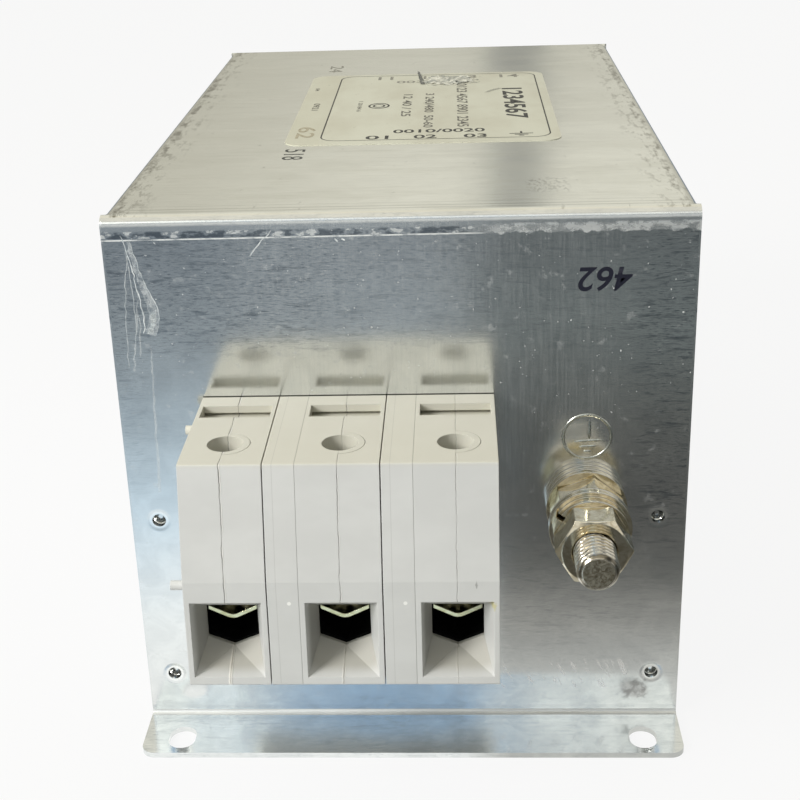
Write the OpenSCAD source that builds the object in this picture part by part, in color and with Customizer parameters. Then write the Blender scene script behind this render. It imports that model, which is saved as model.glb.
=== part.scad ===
// Three-phase feed-through EMI filter in a folded sheet case.
// Origin: centre of the case's base. +X right, +Y towards the line end, +Z up. Millimetres.

/* [Case] */
// Width of the case over its side walls
case_w = 140; // [138:1:170]
// Height from the feet to the top
case_h = 140; // [132:1:180]
// Length over the two end walls
case_l = 222; // [216:1:280]
// Thickness of the folded sheet
sheet_t = 1.5; // [1.2:0.1:2]
// Inside radius of the folds
fold_r = 1; // [0.6:0.1:1.5]
// How far a mounting foot stands out from its end wall
foot_out = 17.5; // [16:0.5:25]
// Corner radius of the feet
foot_corner_r = 3.5; // [1:0.5:5]
// Width of the slots in the feet
slot_w = 7; // [5:0.5:8]
// End-to-end length of the slots
slot_l = 9; // [8.5:0.5:10]
// Distance between the two slots of one foot
slot_pitch = 120; // [100:1:122]
// Distance from the end wall to the slots' centres
slot_from_wall = 11; // [9:0.5:12]
// Width of the tabs folded in behind the end walls
tab_w = 12; // [11:0.5:13]
// Clinch joints: distance from the case's side
clinch_inset = 7; // [6:0.5:8]
// Height of the lower clinch joints
clinch_low = 14; // [12:1:25]
// Height of the upper clinch joints
clinch_high = 60; // [40:1:90]
// Diameter of the clinch joints' recess
clinch_d = 3.5; // [2.5:0.1:4.5]
// Height of the base plate's side flanges
base_flange_h = 14; // [8:1:25]

/* [Rating label] */
// Width of the label across the case
label_w = 77; // [50:1:80]
// Length of the label along the case
label_l = 100.5; // [60:0.5:110]
// Thickness of the label
label_t = 0.15; // [0.1:0.05:0.3]
// Corner radius of the label
label_r = 5; // [1:0.5:8]
// Shift of the label's centre to the right
label_x = 4.5; // [-10:0.5:15]
// Shift of the label's centre towards the line end
label_y = 7; // [-20:0.5:30]

/* [Terminals] */
// Width of one terminal
terminal_w = 18.75; // [18.5:0.05:19.5]
// Width of a spacer between two terminals
spacer_w = 7.4; // [6.5:0.1:9]
// Distance from the case's centre line to the block's left edge
block_left = 48.9; // [46:0.1:50]
// Gap between a terminal's right shell and the next spacer
block_gap = 0.25; // [0.1:0.05:0.5]
// Height of the block's underside
block_bottom = 41.3; // [39:0.1:44]
// Height of the block's top
block_top = 94.1; // [92:0.1:98]
// Reach of the top face from the end wall
top_reach = 37.8; // [37.5:0.1:39]
// Reach at the bend of the front face
bend_reach = 43.5; // [42.5:0.1:44.5]
// Height of that bend
bend_z = 67.4; // [66.5:0.1:70]
// Reach of the front face at the underside
bottom_reach = 45.1; // [44.5:0.1:46]
// Edge rounding of the mouldings
edge_r = 0.5; // [0.2:0.1:0.8]
// Wall of the mouldings
shell_wall = 1.5; // [1.3:0.1:1.6]
// Distance from the end wall to the guide tubes' axes
guide_reach = 27.1; // [26.5:0.1:27.3]
// Bore of the guide tubes
guide_bore = 8.3; // [8.2:0.1:8.6]
// Outside diameter of the guide tubes
guide_od = 11.3; // [11:0.1:12]
// Clearance between a guide tube and the right shell
guide_gap = 0.12; // [0.05:0.01:0.3]
// Width of the marker recess in the top
marker_w = 16.8; // [14:0.1:17]
// Distance from the end wall to the marker recess
marker_near = 5.8; // [5:0.1:7]
// Length of the marker recess
marker_l = 6.6; // [5:0.1:7]
// Depth of the marker recess above its undercut
marker_depth = 1.8; // [1:0.1:2]
// Height of the undercut that the marker tags snap into
undercut_h = 0.9; // [0.5:0.1:1]
// How far the undercut runs on towards the end wall
undercut_l = 1.6; // [0.8:0.1:2]
// Diameter of the linking pegs
peg_d = 2.2; // [1.8:0.1:2.4]
// Length of the linking pegs
peg_l = 3.1; // [1.6:0.1:3.2]
// Clearance round a peg in its socket
peg_gap = 0.12; // [0.05:0.01:0.2]

/* [Wire entry] */
// Width of the funnel's rim
rim_w = 16.3; // [15:0.1:16.6]
// Height of the rim's lower edge above the underside
rim_low = 2.1; // [1.5:0.1:3]
// Height of the funnel's rim
rim_h = 19; // [18.5:0.1:20]
// Width of the funnel's throat
throat_w = 12; // [11:0.1:12.4]
// Height of the throat's upper edge above the underside
throat_top = 15.9; // [15:0.1:17]
// Depth of the throat's V
throat_v = 2.5; // [2:0.1:3]

/* [Clamp] */
// Height of the clamp cage
cage_h = 24.7; // [24:0.1:25.5]
// Length of the clamp cage along the wire
cage_l = 14.4; // [12:0.1:15]
// Side wall of the clamp cage
cage_side = 1.8; // [1.5:0.1:2]
// Floor of the clamp cage
cage_floor = 1.2; // [1:0.1:1.6]
// Threaded top of the clamp cage
cage_top = 5; // [4:0.1:6]
// Diameter of the clamp screws
screw_d = 7.8; // [7:0.1:8]
// Length of the clamp screws
screw_l = 22; // [18:0.5:30]
// Hexagon socket of the clamp screws, across flats
screw_af = 4; // [3:0.5:5]
// Thickness of the pressure plate
plate_t = 1; // [0.8:0.1:1.2]
// Thickness of the current bar in the clamp
trough_t = 1.5; // [1.2:0.1:1.8]
// Width of the current bar's tongue
tongue_w = 10; // [8:0.1:10.5]
// Thickness of the current bar's tongue
tongue_t = 2.5; // [2:0.1:3]
// Height of the tongue's underside above the block's underside
tongue_rise = 18.45; // [18:0.1:19]
// Reach of the tongue into the case
tongue_in = 26; // [22:0.5:30]
// Clearance of metal pieces in the mouldings
fit_gap = 0.1; // [0.05:0.01:0.2]

/* [Earth studs] */
// Distance of the studs from the case's centre line
stud_x = 44.8; // [44:0.1:45.5]
// Height of the studs
stud_z = 64.6; // [60:0.1:75]
// Thread diameter
stud_d = 10; // [8:0.5:10]
// Depth of the thread, which is drawn in full only where it is free
thread_depth = 0.45; // [0.3:0.05:0.6]
// Reach of the thread's end from the end wall
stud_reach = 35.6; // [34.6:0.1:50]
// Width across flats of the nuts and the bolt head
nut_af = 16; // [15:0.5:16]
// Height of a nut
nut_h = 8.1; // [7:0.1:8.4]
// Height of the bolt head inside the case
head_h = 6.4; // [5:0.1:8]
// Diameter of the flat washers
washer_d = 20; // [18:0.5:21]
// Thickness of each of the two washers against the wall
base_washer_t = 2.2; // [1.6:0.1:2.4]
// Thickness of the washer under the spring washer
lug_washer_t = 2.5; // [2:0.1:3]
// Diameter of the spring washer
spring_d = 18.1; // [17:0.1:18.5]
// Thickness of the spring washer as fitted
spring_t = 3.1; // [2.2:0.1:3.5]
// Radial clearance of a nut on the thread's core
thread_gap = 0.05; // [0.02:0.01:0.1]
// Radial clearance between the thread and the washers
washer_gap = 0.25; // [0.1:0.05:0.4]

/* [Choke] */
// Outside diameter of the ring core
core_od = 84; // [70:1:86]
// Inside diameter of the ring core
core_id = 46; // [44:1:48]
// Length of the ring core along its axis
core_l = 38; // [30:1:46]
// Edge radius of the core's case
core_r = 3; // [3:0.5:5]
// Diameter of the winding wire
wire_d = 5; // [4:0.1:5]
// Passes of each winding through the core
wire_passes = 6; // [4:1:6]
// Angle between two passes
pass_angle = 15; // [15:0.5:16]
// Clearance between the wire and the core
wire_gap = 0.2; // [0.1:0.05:0.4]
// Width of the saddle under the choke
saddle_w = 72; // [50:1:80]
// Length of the saddle along the case
saddle_l = 40; // [20:1:44]
// Wall of the saddle under the choke
saddle_wall = 4.7; // [3:0.1:8]

/* [Capacitors] */
// Width of a phase capacitor
cap_w = 24; // [18:0.5:25]
// Length of a phase capacitor
cap_l = 28; // [24:0.5:32]
// Height of a phase capacitor
cap_h = 42; // [30:0.5:44]
// Width of the earth capacitor
earth_cap_w = 16; // [10:0.5:20]
// Height of the earth capacitor
earth_cap_h = 30; // [20:0.5:40]
// Diameter of the capacitor leads
lead_d = 1.4; // [1:0.1:1.8]
// Height of the star rail above the capacitors
rail_rise = 8; // [7:0.5:10]
// Diameter of a discharge resistor
resistor_d = 4; // [3:0.5:6]
// Length of a discharge resistor
resistor_l = 7; // [5:0.5:8]

/* [Hidden] */
$fn = 64;
eps = 0.01;
ends = [-1, 1];               // load end, line end
phases = [0, 1, 2];
fold_out = fold_r + sheet_t;  // outside radius of a fold

// Terminal block
pitch = terminal_w + spacer_w;
half_w = terminal_w / 2;
function terminal_x(i) = -block_left + half_w + i * pitch;
function front_reach(z) = z > bend_z
    ? top_reach + (block_top - z) * (bend_reach - top_reach) / (block_top - bend_z)
    : bend_reach + (bend_z - z) * (bottom_reach - bend_reach) / (bend_z - block_bottom);
roof = block_bottom + 2.4 + cage_h + 0.2;   // top of the clamp chamber
chamber_floor = block_bottom + 2.4;
chamber_w = 2 * (half_w - shell_wall + 0.08);
cage_w = chamber_w - 2 * fit_gap;
cage_in_w = cage_w - 2 * cage_side;
chamber_near = guide_reach - 14.1;
chamber_far = guide_reach + cage_l / 2 + 0.7;
trough_low = chamber_floor + cage_floor;     // underside of the current bar's V
trough_w = cage_in_w - 2 * fit_gap;
throat_side = trough_low + trough_t + throat_v - 0.1;
throat_apex = throat_side - throat_v;
plate_w = cage_in_w - 0.8;
plate_low = block_bottom + throat_top - throat_v - plate_t - 0.9;
point_d = 3;                                 // the clamp screws' point, which seats in the plate's V
point_l = 2;
screw_low = plate_low + plate_t + point_d * throat_v / plate_w + 0.03;
tongue_z = block_bottom + tongue_rise;
riser_near = guide_reach - cage_l / 2 - 3.9;
riser_t = 2.5;

// Neck through the end wall
neck_w = tongue_w + 4;
neck_h = 12;
neck_z = tongue_z + tongue_t / 2;
neck_in = 12;
lip = 1.2;
window_gap = 0.2;

// Linking pegs: one near the top and the wall, one at the bend of the front
peg_spots = [[marker_near + marker_l / 2, block_top - marker_depth - undercut_h - 2],
             [bend_reach - 2.5, bend_z - 1.9]];
socket_l = peg_l + 0.2;

// Earth stack, distances from the end wall
base_nut_at = 2 * base_washer_t;
lug_washer_at = base_nut_at + nut_h;
spring_at = lug_washer_at + lug_washer_t;
outer_nut_at = spring_at + spring_t;
free_thread_at = outer_nut_at + nut_h + 0.3;
core_d = stud_d - 2 * thread_depth;

// Choke
wire_r = wire_d / 2;
coil_in = core_id / 2 - wire_r - wire_gap;
coil_out = core_od / 2 + wire_r + wire_gap;
coil_y = core_l / 2 + wire_r + wire_gap;
choke_z = sheet_t + saddle_wall + coil_out + wire_r + 0.3;
winding_start = [180, 135, 0];
winding_turn = [1, -1, -1];

// Capacitors, distances from the end wall
cap_far = 11;
cap_mid = cap_far + cap_l / 2;
phase_lead_at = cap_mid - 9;
star_at = cap_mid + 4;
cap_top = sheet_t + cap_h;
rail_z = cap_top + rail_rise;

// ---- Placing and drawing helpers ----

// Puts a piece at one end of the case. The piece is drawn as seen from outside that end:
// X to the right at the load end, -Y outwards, its end wall at Y = 0.
module at_end(end, x) {
    translate([x, end * case_l / 2, 0]) rotate([0, 0, end > 0 ? 180 : 0]) children();
}

// Draws a side profile, [reach from the wall, height], from x0 to x1
module across(x0, x1) {
    translate([x1, 0, 0]) rotate([90, 0, -90]) linear_extrude(x1 - x0) children();
}

// Draws a front profile, [x, height], from one reach to another
module outwards(from, to) {
    translate([0, -from, 0]) rotate([90, 0, 0]) linear_extrude(to - from) children();
}

// A quarter of a fold: centre, then the quadrant it covers as signs
module fold_2d(centre, quadrant) {
    translate(centre) intersection() {
        difference() {
            circle(fold_out);
            circle(fold_r);
        }
        translate([min(0, quadrant[0] * fold_out), min(0, quadrant[1] * fold_out)]) square(fold_out);
    }
}

module rounded_2d(w, l, r) {
    square([w - 2 * r, l], center = true);
    square([w, l - 2 * r], center = true);
    for (x = [-1, 1], y = [-1, 1])
        translate([x * (w / 2 - r), y * (l / 2 - r)]) circle(r);
}

// Corner points of an outline, each rounded with radius r
function unit(v) = v / norm(v);
function corner_arc(before, at, after, r) =
    let (u = unit(before - at), w = unit(after - at),
         half = acos(u * w) / 2,
         centre = at + unit(u + w) * r / sin(half),
         p = at + u * r / tan(half) - centre,
         q = at + w * r / tan(half) - centre)
    [for (k = [0:4]) let (m = p * (1 - k / 4) + q * k / 4) centre + unit(m) * r];
function rounded(points, r) =
    let (n = len(points))
    [for (i = [0:n - 1]) each corner_arc(points[(i + n - 1) % n], points[i], points[(i + 1) % n], r)];

// ---- Case ----

// Side profile of an end wall: its share of the top fold, the wall and the mounting foot
module end_wall_2d() {
    fold_2d([-fold_out, case_h - fold_out], [1, 1]);
    translate([-sheet_t, fold_out]) square([sheet_t, case_h - 2 * fold_out]);
    fold_2d([fold_r, fold_out], [-1, -1]);
    translate([fold_r, 0]) square([foot_out - fold_r, sheet_t]);
}

module foot_slots() {
    for (x = [-1, 1])
        translate([x * slot_pitch / 2, -slot_from_wall, -eps]) {
            for (y = [-1, 1])
                translate([0, y * (slot_l - slot_w) / 2, 0]) cylinder(h = sheet_t + 2 * eps, d = slot_w);
            translate([-slot_w / 2, -(slot_l - slot_w) / 2, 0])
                cube([slot_w, slot_l - slot_w, sheet_t + 2 * eps]);
        }
}

module foot_corners() {
    for (x = [-1, 1])
        translate([x * (case_w / 2 - foot_corner_r), -foot_out + foot_corner_r, -eps])
            difference() {
                translate([x > 0 ? 0 : -foot_corner_r - 1, -foot_corner_r - 1, 0])
                    cube([foot_corner_r + 1, foot_corner_r + 1, sheet_t + 2 * eps]);
                translate([0, 0, -eps]) cylinder(h = sheet_t + 4 * eps, r = foot_corner_r);
            }
}

tab_back = sheet_t + 0.15;              // gap face of the end tabs, behind the end wall
tab_low = sheet_t + 0.5;
tab_high = case_h - fold_out - 4;

// An end tab and its fold, in plan; the side wall is at the positive x
module end_tab_2d() {
    mirror([0, 1]) fold_2d([case_w / 2 - fold_out, -tab_back - fold_out], [1, 1]);
    translate([case_w / 2 - sheet_t - tab_w, tab_back]) square([tab_w + sheet_t - fold_out, sheet_t]);
}

module clinch_spots() {
    for (x = [-1, 1], z = [clinch_low, clinch_high])
        translate([x * (case_w / 2 - clinch_inset), 0, z]) rotate([-90, 0, 0]) children();
}

module hood() color([0.74, 0.76, 0.77]) {
    top_l = case_l - 2 * (tab_back + fold_out);
    difference() {
        union() {
            // top and side walls
            rotate([90, 0, 0]) translate([0, 0, -top_l / 2]) linear_extrude(top_l) {
                for (m = [0, 1]) mirror([m, 0]) {
                    fold_2d([case_w / 2 - fold_out, case_h - fold_out], [1, 1]);
                    translate([case_w / 2 - sheet_t, 0]) square([sheet_t, case_h - fold_out]);
                }
            }
            translate([-case_w / 2 + fold_out, -case_l / 2 + fold_out, case_h - sheet_t])
                cube([case_w - 2 * fold_out, case_l - 2 * fold_out, sheet_t]);
            for (end = ends) at_end(end, 0) {
                across(-case_w / 2, case_w / 2) end_wall_2d();
                for (m = [0, 1]) mirror([m, 0, 0])
                    translate([0, 0, tab_low]) linear_extrude(tab_high - tab_low) end_tab_2d();
                // press joints: the wall's metal driven through the tab
                clinch_spots() translate([0, 0, sheet_t - eps]) cylinder(h = sheet_t + 1, d = clinch_d + 1.6);
            }
        }
        for (end = ends) {
            at_end(end, 0) {
                foot_slots();
                foot_corners();
                clinch_spots() translate([0, 0, -eps]) {
                    cylinder(h = 1.6, d = clinch_d);
                    translate([0, 0, 1.6 - eps]) cylinder(h = 0.6, d1 = clinch_d, d2 = clinch_d - 1.2);
                }
            }
            for (i = phases) at_end(end, terminal_x(i))
                translate([-neck_w / 2 - window_gap, -1, neck_z - neck_h / 2 - window_gap])
                    cube([neck_w + 2 * window_gap, sheet_t + 2, neck_h + 2 * window_gap]);
            at_end(end, stud_x)
                translate([0, -1, stud_z]) rotate([-90, 0, 0])
                    cylinder(h = sheet_t + 2, r = stud_d / 2 + washer_gap);
        }
    }
}

module base_plate() color([0.74, 0.76, 0.77]) {
    inner = case_w / 2 - sheet_t;
    flange_l = case_l - 16;
    rotate([90, 0, 0]) translate([0, 0, -flange_l / 2]) linear_extrude(flange_l)
        for (m = [0, 1]) mirror([m, 0]) {
            fold_2d([inner - fold_out, fold_out], [1, -1]);
            translate([inner - sheet_t, fold_out]) square([sheet_t, base_flange_h - fold_out]);
        }
    plate_l = case_l - 2 * (sheet_t + 0.2);
    translate([-inner + fold_out, -plate_l / 2, 0]) cube([2 * (inner - fold_out), plate_l, sheet_t]);
}

module rating_label() color([0.93, 0.92, 0.87])
    translate([label_x, label_y, case_h]) linear_extrude(label_t) rounded_2d(label_w, label_l, label_r);

// ---- Terminals: split mouldings with a wire funnel, a clamp chamber and a guide tube ----

module block_2d() {
    polygon(rounded([[0, block_bottom], [0, block_top], [top_reach, block_top],
                     [bend_reach, bend_z], [bottom_reach, block_bottom]], edge_r));
}

// The neck that passes the end wall, with snap lips behind the sheet
module neck_2d() {
    low = neck_z - neck_h / 2;
    high = neck_z + neck_h / 2;
    catch = -sheet_t - 0.15;
    polygon([[eps, low], [catch, low], [catch, low - lip], [catch - 2.8, low], [-neck_in, low],
             [-neck_in, high], [catch - 2.8, high], [catch, high + lip], [catch, high], [eps, high]]);
}

// Hollows between the two shells, clear of the clamp chamber and the guide tube
module hollow_2d() {
    shelf = roof + shell_wall;
    under_pegs = peg_spots[0][1] - peg_d / 2 - 1.2;
    rear_end = guide_reach - guide_od / 2 - 1.1;
    front_start = guide_reach + guide_od / 2 + 1.4;
    translate([shell_wall, shelf]) square([rear_end - shell_wall, under_pegs - shelf]);
    polygon([[front_start, shelf], [front_start, block_top - shell_wall],
             [front_reach(block_top) - shell_wall - 0.1, block_top - shell_wall],
             [front_reach(shelf) - shell_wall - 0.1, shelf]]);
    translate([shell_wall, chamber_floor])
        square([chamber_near - 2 * shell_wall, neck_z - neck_h / 2 - chamber_floor]);
}

module throat_2d() {
    top = block_bottom + throat_top;
    polygon([[-throat_w / 2, top], [-throat_w / 2, throat_side], [0, throat_apex],
             [throat_w / 2, throat_side], [throat_w / 2, top]]);
}

// Four faces narrow from the rim in the sloping front to the throat's pentagon
module funnel() {
    low = block_bottom + rim_low;
    high = low + rim_h;
    hull() {
        outwards(chamber_far + 1, chamber_far + 1 + eps) throat_2d();
        across(-rim_w / 2, rim_w / 2)
            polygon([[front_reach(low), low], [front_reach(low) + 1, low],
                     [front_reach(high) + 1, high], [front_reach(high), high]]);
    }
    outwards(chamber_far - 1, chamber_far + 1 + 2 * eps) throat_2d();
}

// Everything that is cut out of both shells
module shell_cuts() {
    across(-chamber_w / 2, chamber_w / 2) hollow_2d();
    translate([-chamber_w / 2, -chamber_far, chamber_floor])
        cube([chamber_w, chamber_far - chamber_near, roof - chamber_floor]);
    funnel();
    translate([-marker_w / 2, -marker_near - marker_l, block_top - marker_depth])
        cube([marker_w, marker_l, marker_depth + 1]);
    translate([-marker_w / 2, -marker_near - marker_l, block_top - marker_depth - undercut_h])
        cube([marker_w, marker_l + undercut_l, undercut_h + eps]);
    // slot for the current bar's tongue, from the chamber through the neck
    translate([-tongue_w / 2 - fit_gap, -chamber_near - 1, tongue_z - fit_gap])
        cube([tongue_w + 2 * fit_gap, chamber_near + neck_in + 2, tongue_t + 2 * fit_gap]);
}

module half_block(x0, x1) {
    across(x0, x1) block_2d();
    across(max(x0, -neck_w / 2), min(x1, neck_w / 2)) neck_2d();
}

module guide_cylinder(d) {
    translate([0, -guide_reach, roof - eps]) cylinder(h = block_top - roof + eps, d = d);
}

module guide_hole(d) {
    translate([0, -guide_reach, roof - 1]) cylinder(h = block_top - roof + 2, d = d);
}

module left_shell() color([0.82, 0.815, 0.79]) {
    difference() {
        union() {
            difference() {
                half_block(-half_w, 0);
                shell_cuts();
            }
            guide_cylinder(guide_od);
        }
        guide_hole(guide_bore);
    }
    for (spot = peg_spots)
        translate([-half_w - peg_l, -spot[0], spot[1]]) rotate([0, 90, 0]) cylinder(h = peg_l + 0.5, d = peg_d);
}

module right_shell() color([0.82, 0.815, 0.79]) {
    difference() {
        half_block(0, half_w);
        shell_cuts();
        guide_hole(guide_od + 2 * guide_gap);
        for (spot = peg_spots)
            translate([half_w - socket_l, -spot[0], spot[1]]) rotate([0, 90, 0])
                cylinder(h = socket_l + 1, d = peg_d + 2 * peg_gap);
    }
}

// A spacer is an open moulding on the left of the terminal that it is drawn with
module spacer() color([0.80, 0.80, 0.785]) {
    left = -half_w - spacer_w + block_gap;
    right = -half_w;
    post_d = peg_d + 2.4;
    difference() {
        union() {
            difference() {
                across(left, right) block_2d();
                across(left - 1, right - shell_wall) hollow_in_spacer_2d();
            }
            for (spot = peg_spots) {
                intersection() {
                    across(left, right) block_2d();
                    translate([left, -spot[0], spot[1]]) rotate([0, 90, 0]) cylinder(h = right - left, d = post_d);
                }
                translate([left - block_gap - peg_l, -spot[0], spot[1]]) rotate([0, 90, 0])
                    cylinder(h = peg_l + block_gap + 1, d = peg_d);
            }
        }
        for (spot = peg_spots)
            translate([right - socket_l, -spot[0], spot[1]]) rotate([0, 90, 0])
                cylinder(h = socket_l + 1, d = peg_d + 2 * peg_gap);
    }
}

module hollow_in_spacer_2d() {
    s = shell_wall;
    polygon([[s, block_bottom + s], [s, block_top - s], [top_reach - s, block_top - s],
             [bend_reach - s, bend_z - 0.2], [bottom_reach - s, block_bottom + s]]);
}

// ---- Clamps ----

module clamp_cage() color([0.70, 0.70, 0.66]) {
    near = guide_reach - cage_l / 2;
    difference() {
        translate([-cage_w / 2, -near - cage_l, chamber_floor]) cube([cage_w, cage_l, cage_h]);
        translate([-cage_in_w / 2, -near - cage_l - 1, chamber_floor + cage_floor])
            cube([cage_in_w, cage_l + 2, cage_h - cage_floor - cage_top]);
        translate([0, -guide_reach, chamber_floor + cage_h - cage_top - 1])
            cylinder(h = cage_top + 2, d = screw_d + 2 * fit_gap);
    }
}

// A strip bent to a shallow V with a rounded bend; z is the underside's lowest point
module vee_2d(w, drop, t, z) {
    bend = 2;                                  // inside radius of the bend
    slope = atan(2 * drop / w);
    apex = z - (bend + t) * (1 / cos(slope) - 1);
    left = [-w / 2, z + drop];
    right = [w / 2, z + drop];
    up = [0, t];
    polygon(concat([left], corner_arc(left, [0, apex], right, bend + t), [right, right + up],
                   corner_arc(right + up, [0, apex + t / cos(slope)], left + up, bend), [left + up]));
}

module pressure_plate() color([0.80, 0.72, 0.40])
    outwards(guide_reach - cage_l / 2 + 1, chamber_far - 0.3)
        vee_2d(plate_w, throat_v, plate_t, plate_low);

module current_bar() color([0.78, 0.56, 0.38]) {
    outwards(riser_near + 1, guide_reach + cage_l / 2 - 0.3) vee_2d(trough_w, throat_v, trough_t, trough_low);
    translate([-tongue_w / 2, -riser_near - riser_t, trough_low + trough_t])
        cube([tongue_w, riser_t, tongue_z + tongue_t - trough_low - trough_t]);
    translate([-tongue_w / 2, -riser_near - riser_t, tongue_z])
        cube([tongue_w, riser_near + riser_t + tongue_in, tongue_t]);
}

module clamp_screw() {
    translate([0, -guide_reach, screw_low]) difference() {
        union() {
            cylinder(h = point_l + 1, d = point_d);
            translate([0, 0, point_l]) cylinder(h = screw_l - point_l, d = screw_d);
        }
        translate([0, 0, screw_l - 4.5]) cylinder(h = 5, d = screw_af / cos(30), $fn = 6);
    }
}

module clamp_screws() color([0.72, 0.70, 0.60])
    for (end = ends, i = phases) at_end(end, terminal_x(i)) clamp_screw();

// ---- Earth studs ----

// Places a turned piece on a stud's axis, its lower face at this distance from the end wall
module on_stud(reach) {
    for (end = ends) at_end(end, stud_x)
        translate([0, -reach, stud_z]) rotate([90, 0, 0]) children();
}

module hexagon(af, h, turn) {
    chamfer = 0.9;
    corner = af / cos(30);
    intersection() {
        rotate([0, 0, turn]) cylinder(h = h, d = corner, $fn = 6);
        union() {
            cylinder(h = chamfer, d1 = af - 0.6, d2 = corner + 0.4);
            translate([0, 0, chamfer]) cylinder(h = h - 2 * chamfer, d = corner + 0.4);
            translate([0, 0, h - chamfer]) cylinder(h = chamfer, d1 = corner + 0.4, d2 = af - 0.6);
        }
    }
}

module nut(turn) {
    difference() {
        hexagon(nut_af, nut_h, turn);
        translate([0, 0, -1]) cylinder(h = nut_h + 2, d = core_d + 2 * thread_gap);
        for (z = [0, 1]) translate([0, 0, z * nut_h]) mirror([0, 0, z]) translate([0, 0, -eps])
            cylinder(h = 0.8, d1 = stud_d + 0.9, d2 = core_d);
    }
}

module washer(d, t) {
    difference() {
        cylinder(h = t, d = d);
        translate([0, 0, -1]) cylinder(h = t + 2, r = stud_d / 2 + washer_gap);
    }
}

module earth_studs() color([0.80, 0.76, 0.64])
    on_stud(-sheet_t) {
        chamfer = 1.1;
        translate([0, 0, -1]) cylinder(h = 1 + sheet_t + stud_reach - chamfer, d = core_d);
        translate([0, 0, sheet_t + free_thread_at])
            cylinder(h = stud_reach - free_thread_at - chamfer, d = stud_d);
        translate([0, 0, sheet_t + stud_reach - chamfer])
            cylinder(h = chamfer, d1 = stud_d, d2 = stud_d - 2 * chamfer);
        translate([0, 0, -head_h]) hexagon(nut_af, head_h, 0);
    }

module earth_wall_washers() color([0.80, 0.76, 0.62]) on_stud(0) washer(washer_d, base_washer_t);
module earth_base_washers() color([0.80, 0.76, 0.62]) on_stud(base_washer_t) washer(washer_d, base_washer_t);
module earth_base_nuts() color([0.80, 0.76, 0.62]) on_stud(base_nut_at) nut(21);
module earth_lug_washers() color([0.80, 0.76, 0.62]) on_stud(lug_washer_at) washer(washer_d, lug_washer_t);
module earth_outer_nuts() color([0.80, 0.76, 0.62]) on_stud(outer_nut_at) nut(0);

module earth_spring_washers() color([0.74, 0.72, 0.66])
    on_stud(spring_at) difference() {
        washer(spring_d, spring_t);
        rotate([0, 0, 150]) translate([0, 0, spring_t / 2]) rotate([20, 0, 0])
            translate([0, -0.6, -spring_t]) cube([spring_d, 1.2, 2 * spring_t]);
    }

// ---- Choke ----

module choke_saddle() color([0.25, 0.25, 0.26]) {
    cradle_r = coil_out + wire_r + 0.3;
    difference() {
        translate([-saddle_w / 2, -saddle_l / 2, sheet_t]) cube([saddle_w, saddle_l, choke_z * 0.38]);
        translate([0, saddle_l / 2 + 1, choke_z]) rotate([90, 0, 0]) cylinder(h = saddle_l + 2, r = cradle_r);
    }
}

module choke_core() color([0.15, 0.22, 0.35])
    translate([0, 0, choke_z]) rotate([90, 0, 0]) rotate_extrude()
        translate([(core_od + core_id) / 4, 0]) rounded_2d((core_od - core_id) / 2, core_l, core_r);

// A point on the coil: angle round the core, distance from its axis, place along it
function on_coil(a, r, y) = [r * cos(a), y, choke_z + r * sin(a)];

// One pass out through the core and back round it, corners rounded with the wire's own radius
function turn_path(a, step, last) =
    let (b = wire_r, c = b * 0.3)
    concat(
        [for (p = [[coil_in, -coil_y + b], [coil_in, coil_y - b]]) [on_coil(a, p[0], p[1]), a]],
        last ? [] :
        [for (p = [[0, coil_in + c, coil_y - c], [0.1, coil_in + b, coil_y], [0.4, coil_out - b, coil_y],
                   [0.5, coil_out - c, coil_y - c], [0.5, coil_out, coil_y - b],
                   [0.5, coil_out, -coil_y + b], [0.5, coil_out - c, -coil_y + c],
                   [0.6, coil_out - b, -coil_y], [0.9, coil_in + b, -coil_y],
                   [1, coil_in + c, -coil_y + c]])
            [on_coil(a + p[0] * step, p[1], p[2]), a + p[0] * step]]);

function bezier(p, q, r, s, t) =
    p * pow(1 - t, 3) + q * 3 * t * pow(1 - t, 2) + r * 3 * t * t * (1 - t) + s * pow(t, 3);

// The wire's tail from the core to the current bar's tongue, both ends along Y
function tail(i, end, a) =
    let (start = on_coil(a, coil_in, end * (coil_y + 0.8 * wire_d)),
         y = case_l / 2 - tongue_in,
         z = tongue_z + tongue_t + wire_r + 0.05,
         stop = [terminal_x(i), end * (y - 0.4 * wire_d), z],
         pull = [0, end * 0.45 * (y - coil_y), 0])
    concat([for (k = [0:7]) [bezier(start, start + pull, stop - pull, stop, k / 7), a]],
           [[[terminal_x(i), end * (y + 2.4 * wire_d), z], a]]);

function reversed(list) = [for (k = [len(list) - 1:-1:0]) list[k]];

function winding_path(i) =
    let (a0 = winding_start[i], step = winding_turn[i] * pass_angle,
         a1 = a0 + (wire_passes - 1) * step)
    concat(reversed(tail(i, -1, a0)),
           [for (k = [0:wire_passes - 1]) each turn_path(a0 + k * step, step, k == wire_passes - 1)],
           tail(i, 1, a1));

// Sweeps a round wire along a path of [point, angle]; the angle keeps the rings from twisting
module wire(path, sides = 8) {
    n = len(path);
    rings = [for (k = [0:n - 1])
        let (along = unit(path[min(k + 1, n - 1)][0] - path[max(k - 1, 0)][0]),
             side = [-sin(path[k][1]), 0, cos(path[k][1])],
             u = unit(side - (side * along) * along),
             v = cross(along, u))
        for (s = [0:sides - 1])
            path[k][0] + wire_r * (cos(360 * s / sides) * u + sin(360 * s / sides) * v)];
    walls = [for (k = [0:n - 2], s = [0:sides - 1])
        let (a = k * sides + s, b = k * sides + (s + 1) % sides)
        each [[a, a + sides, b], [b, a + sides, b + sides]]];
    caps = [[for (s = [0:sides - 1]) s], [for (s = [sides - 1:-1:0]) (n - 1) * sides + s]];
    polyhedron(rings, concat(walls, caps));
}

module winding(i) color([0.72, 0.36, 0.16]) wire(winding_path(i));

// ---- Capacitors ----

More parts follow.
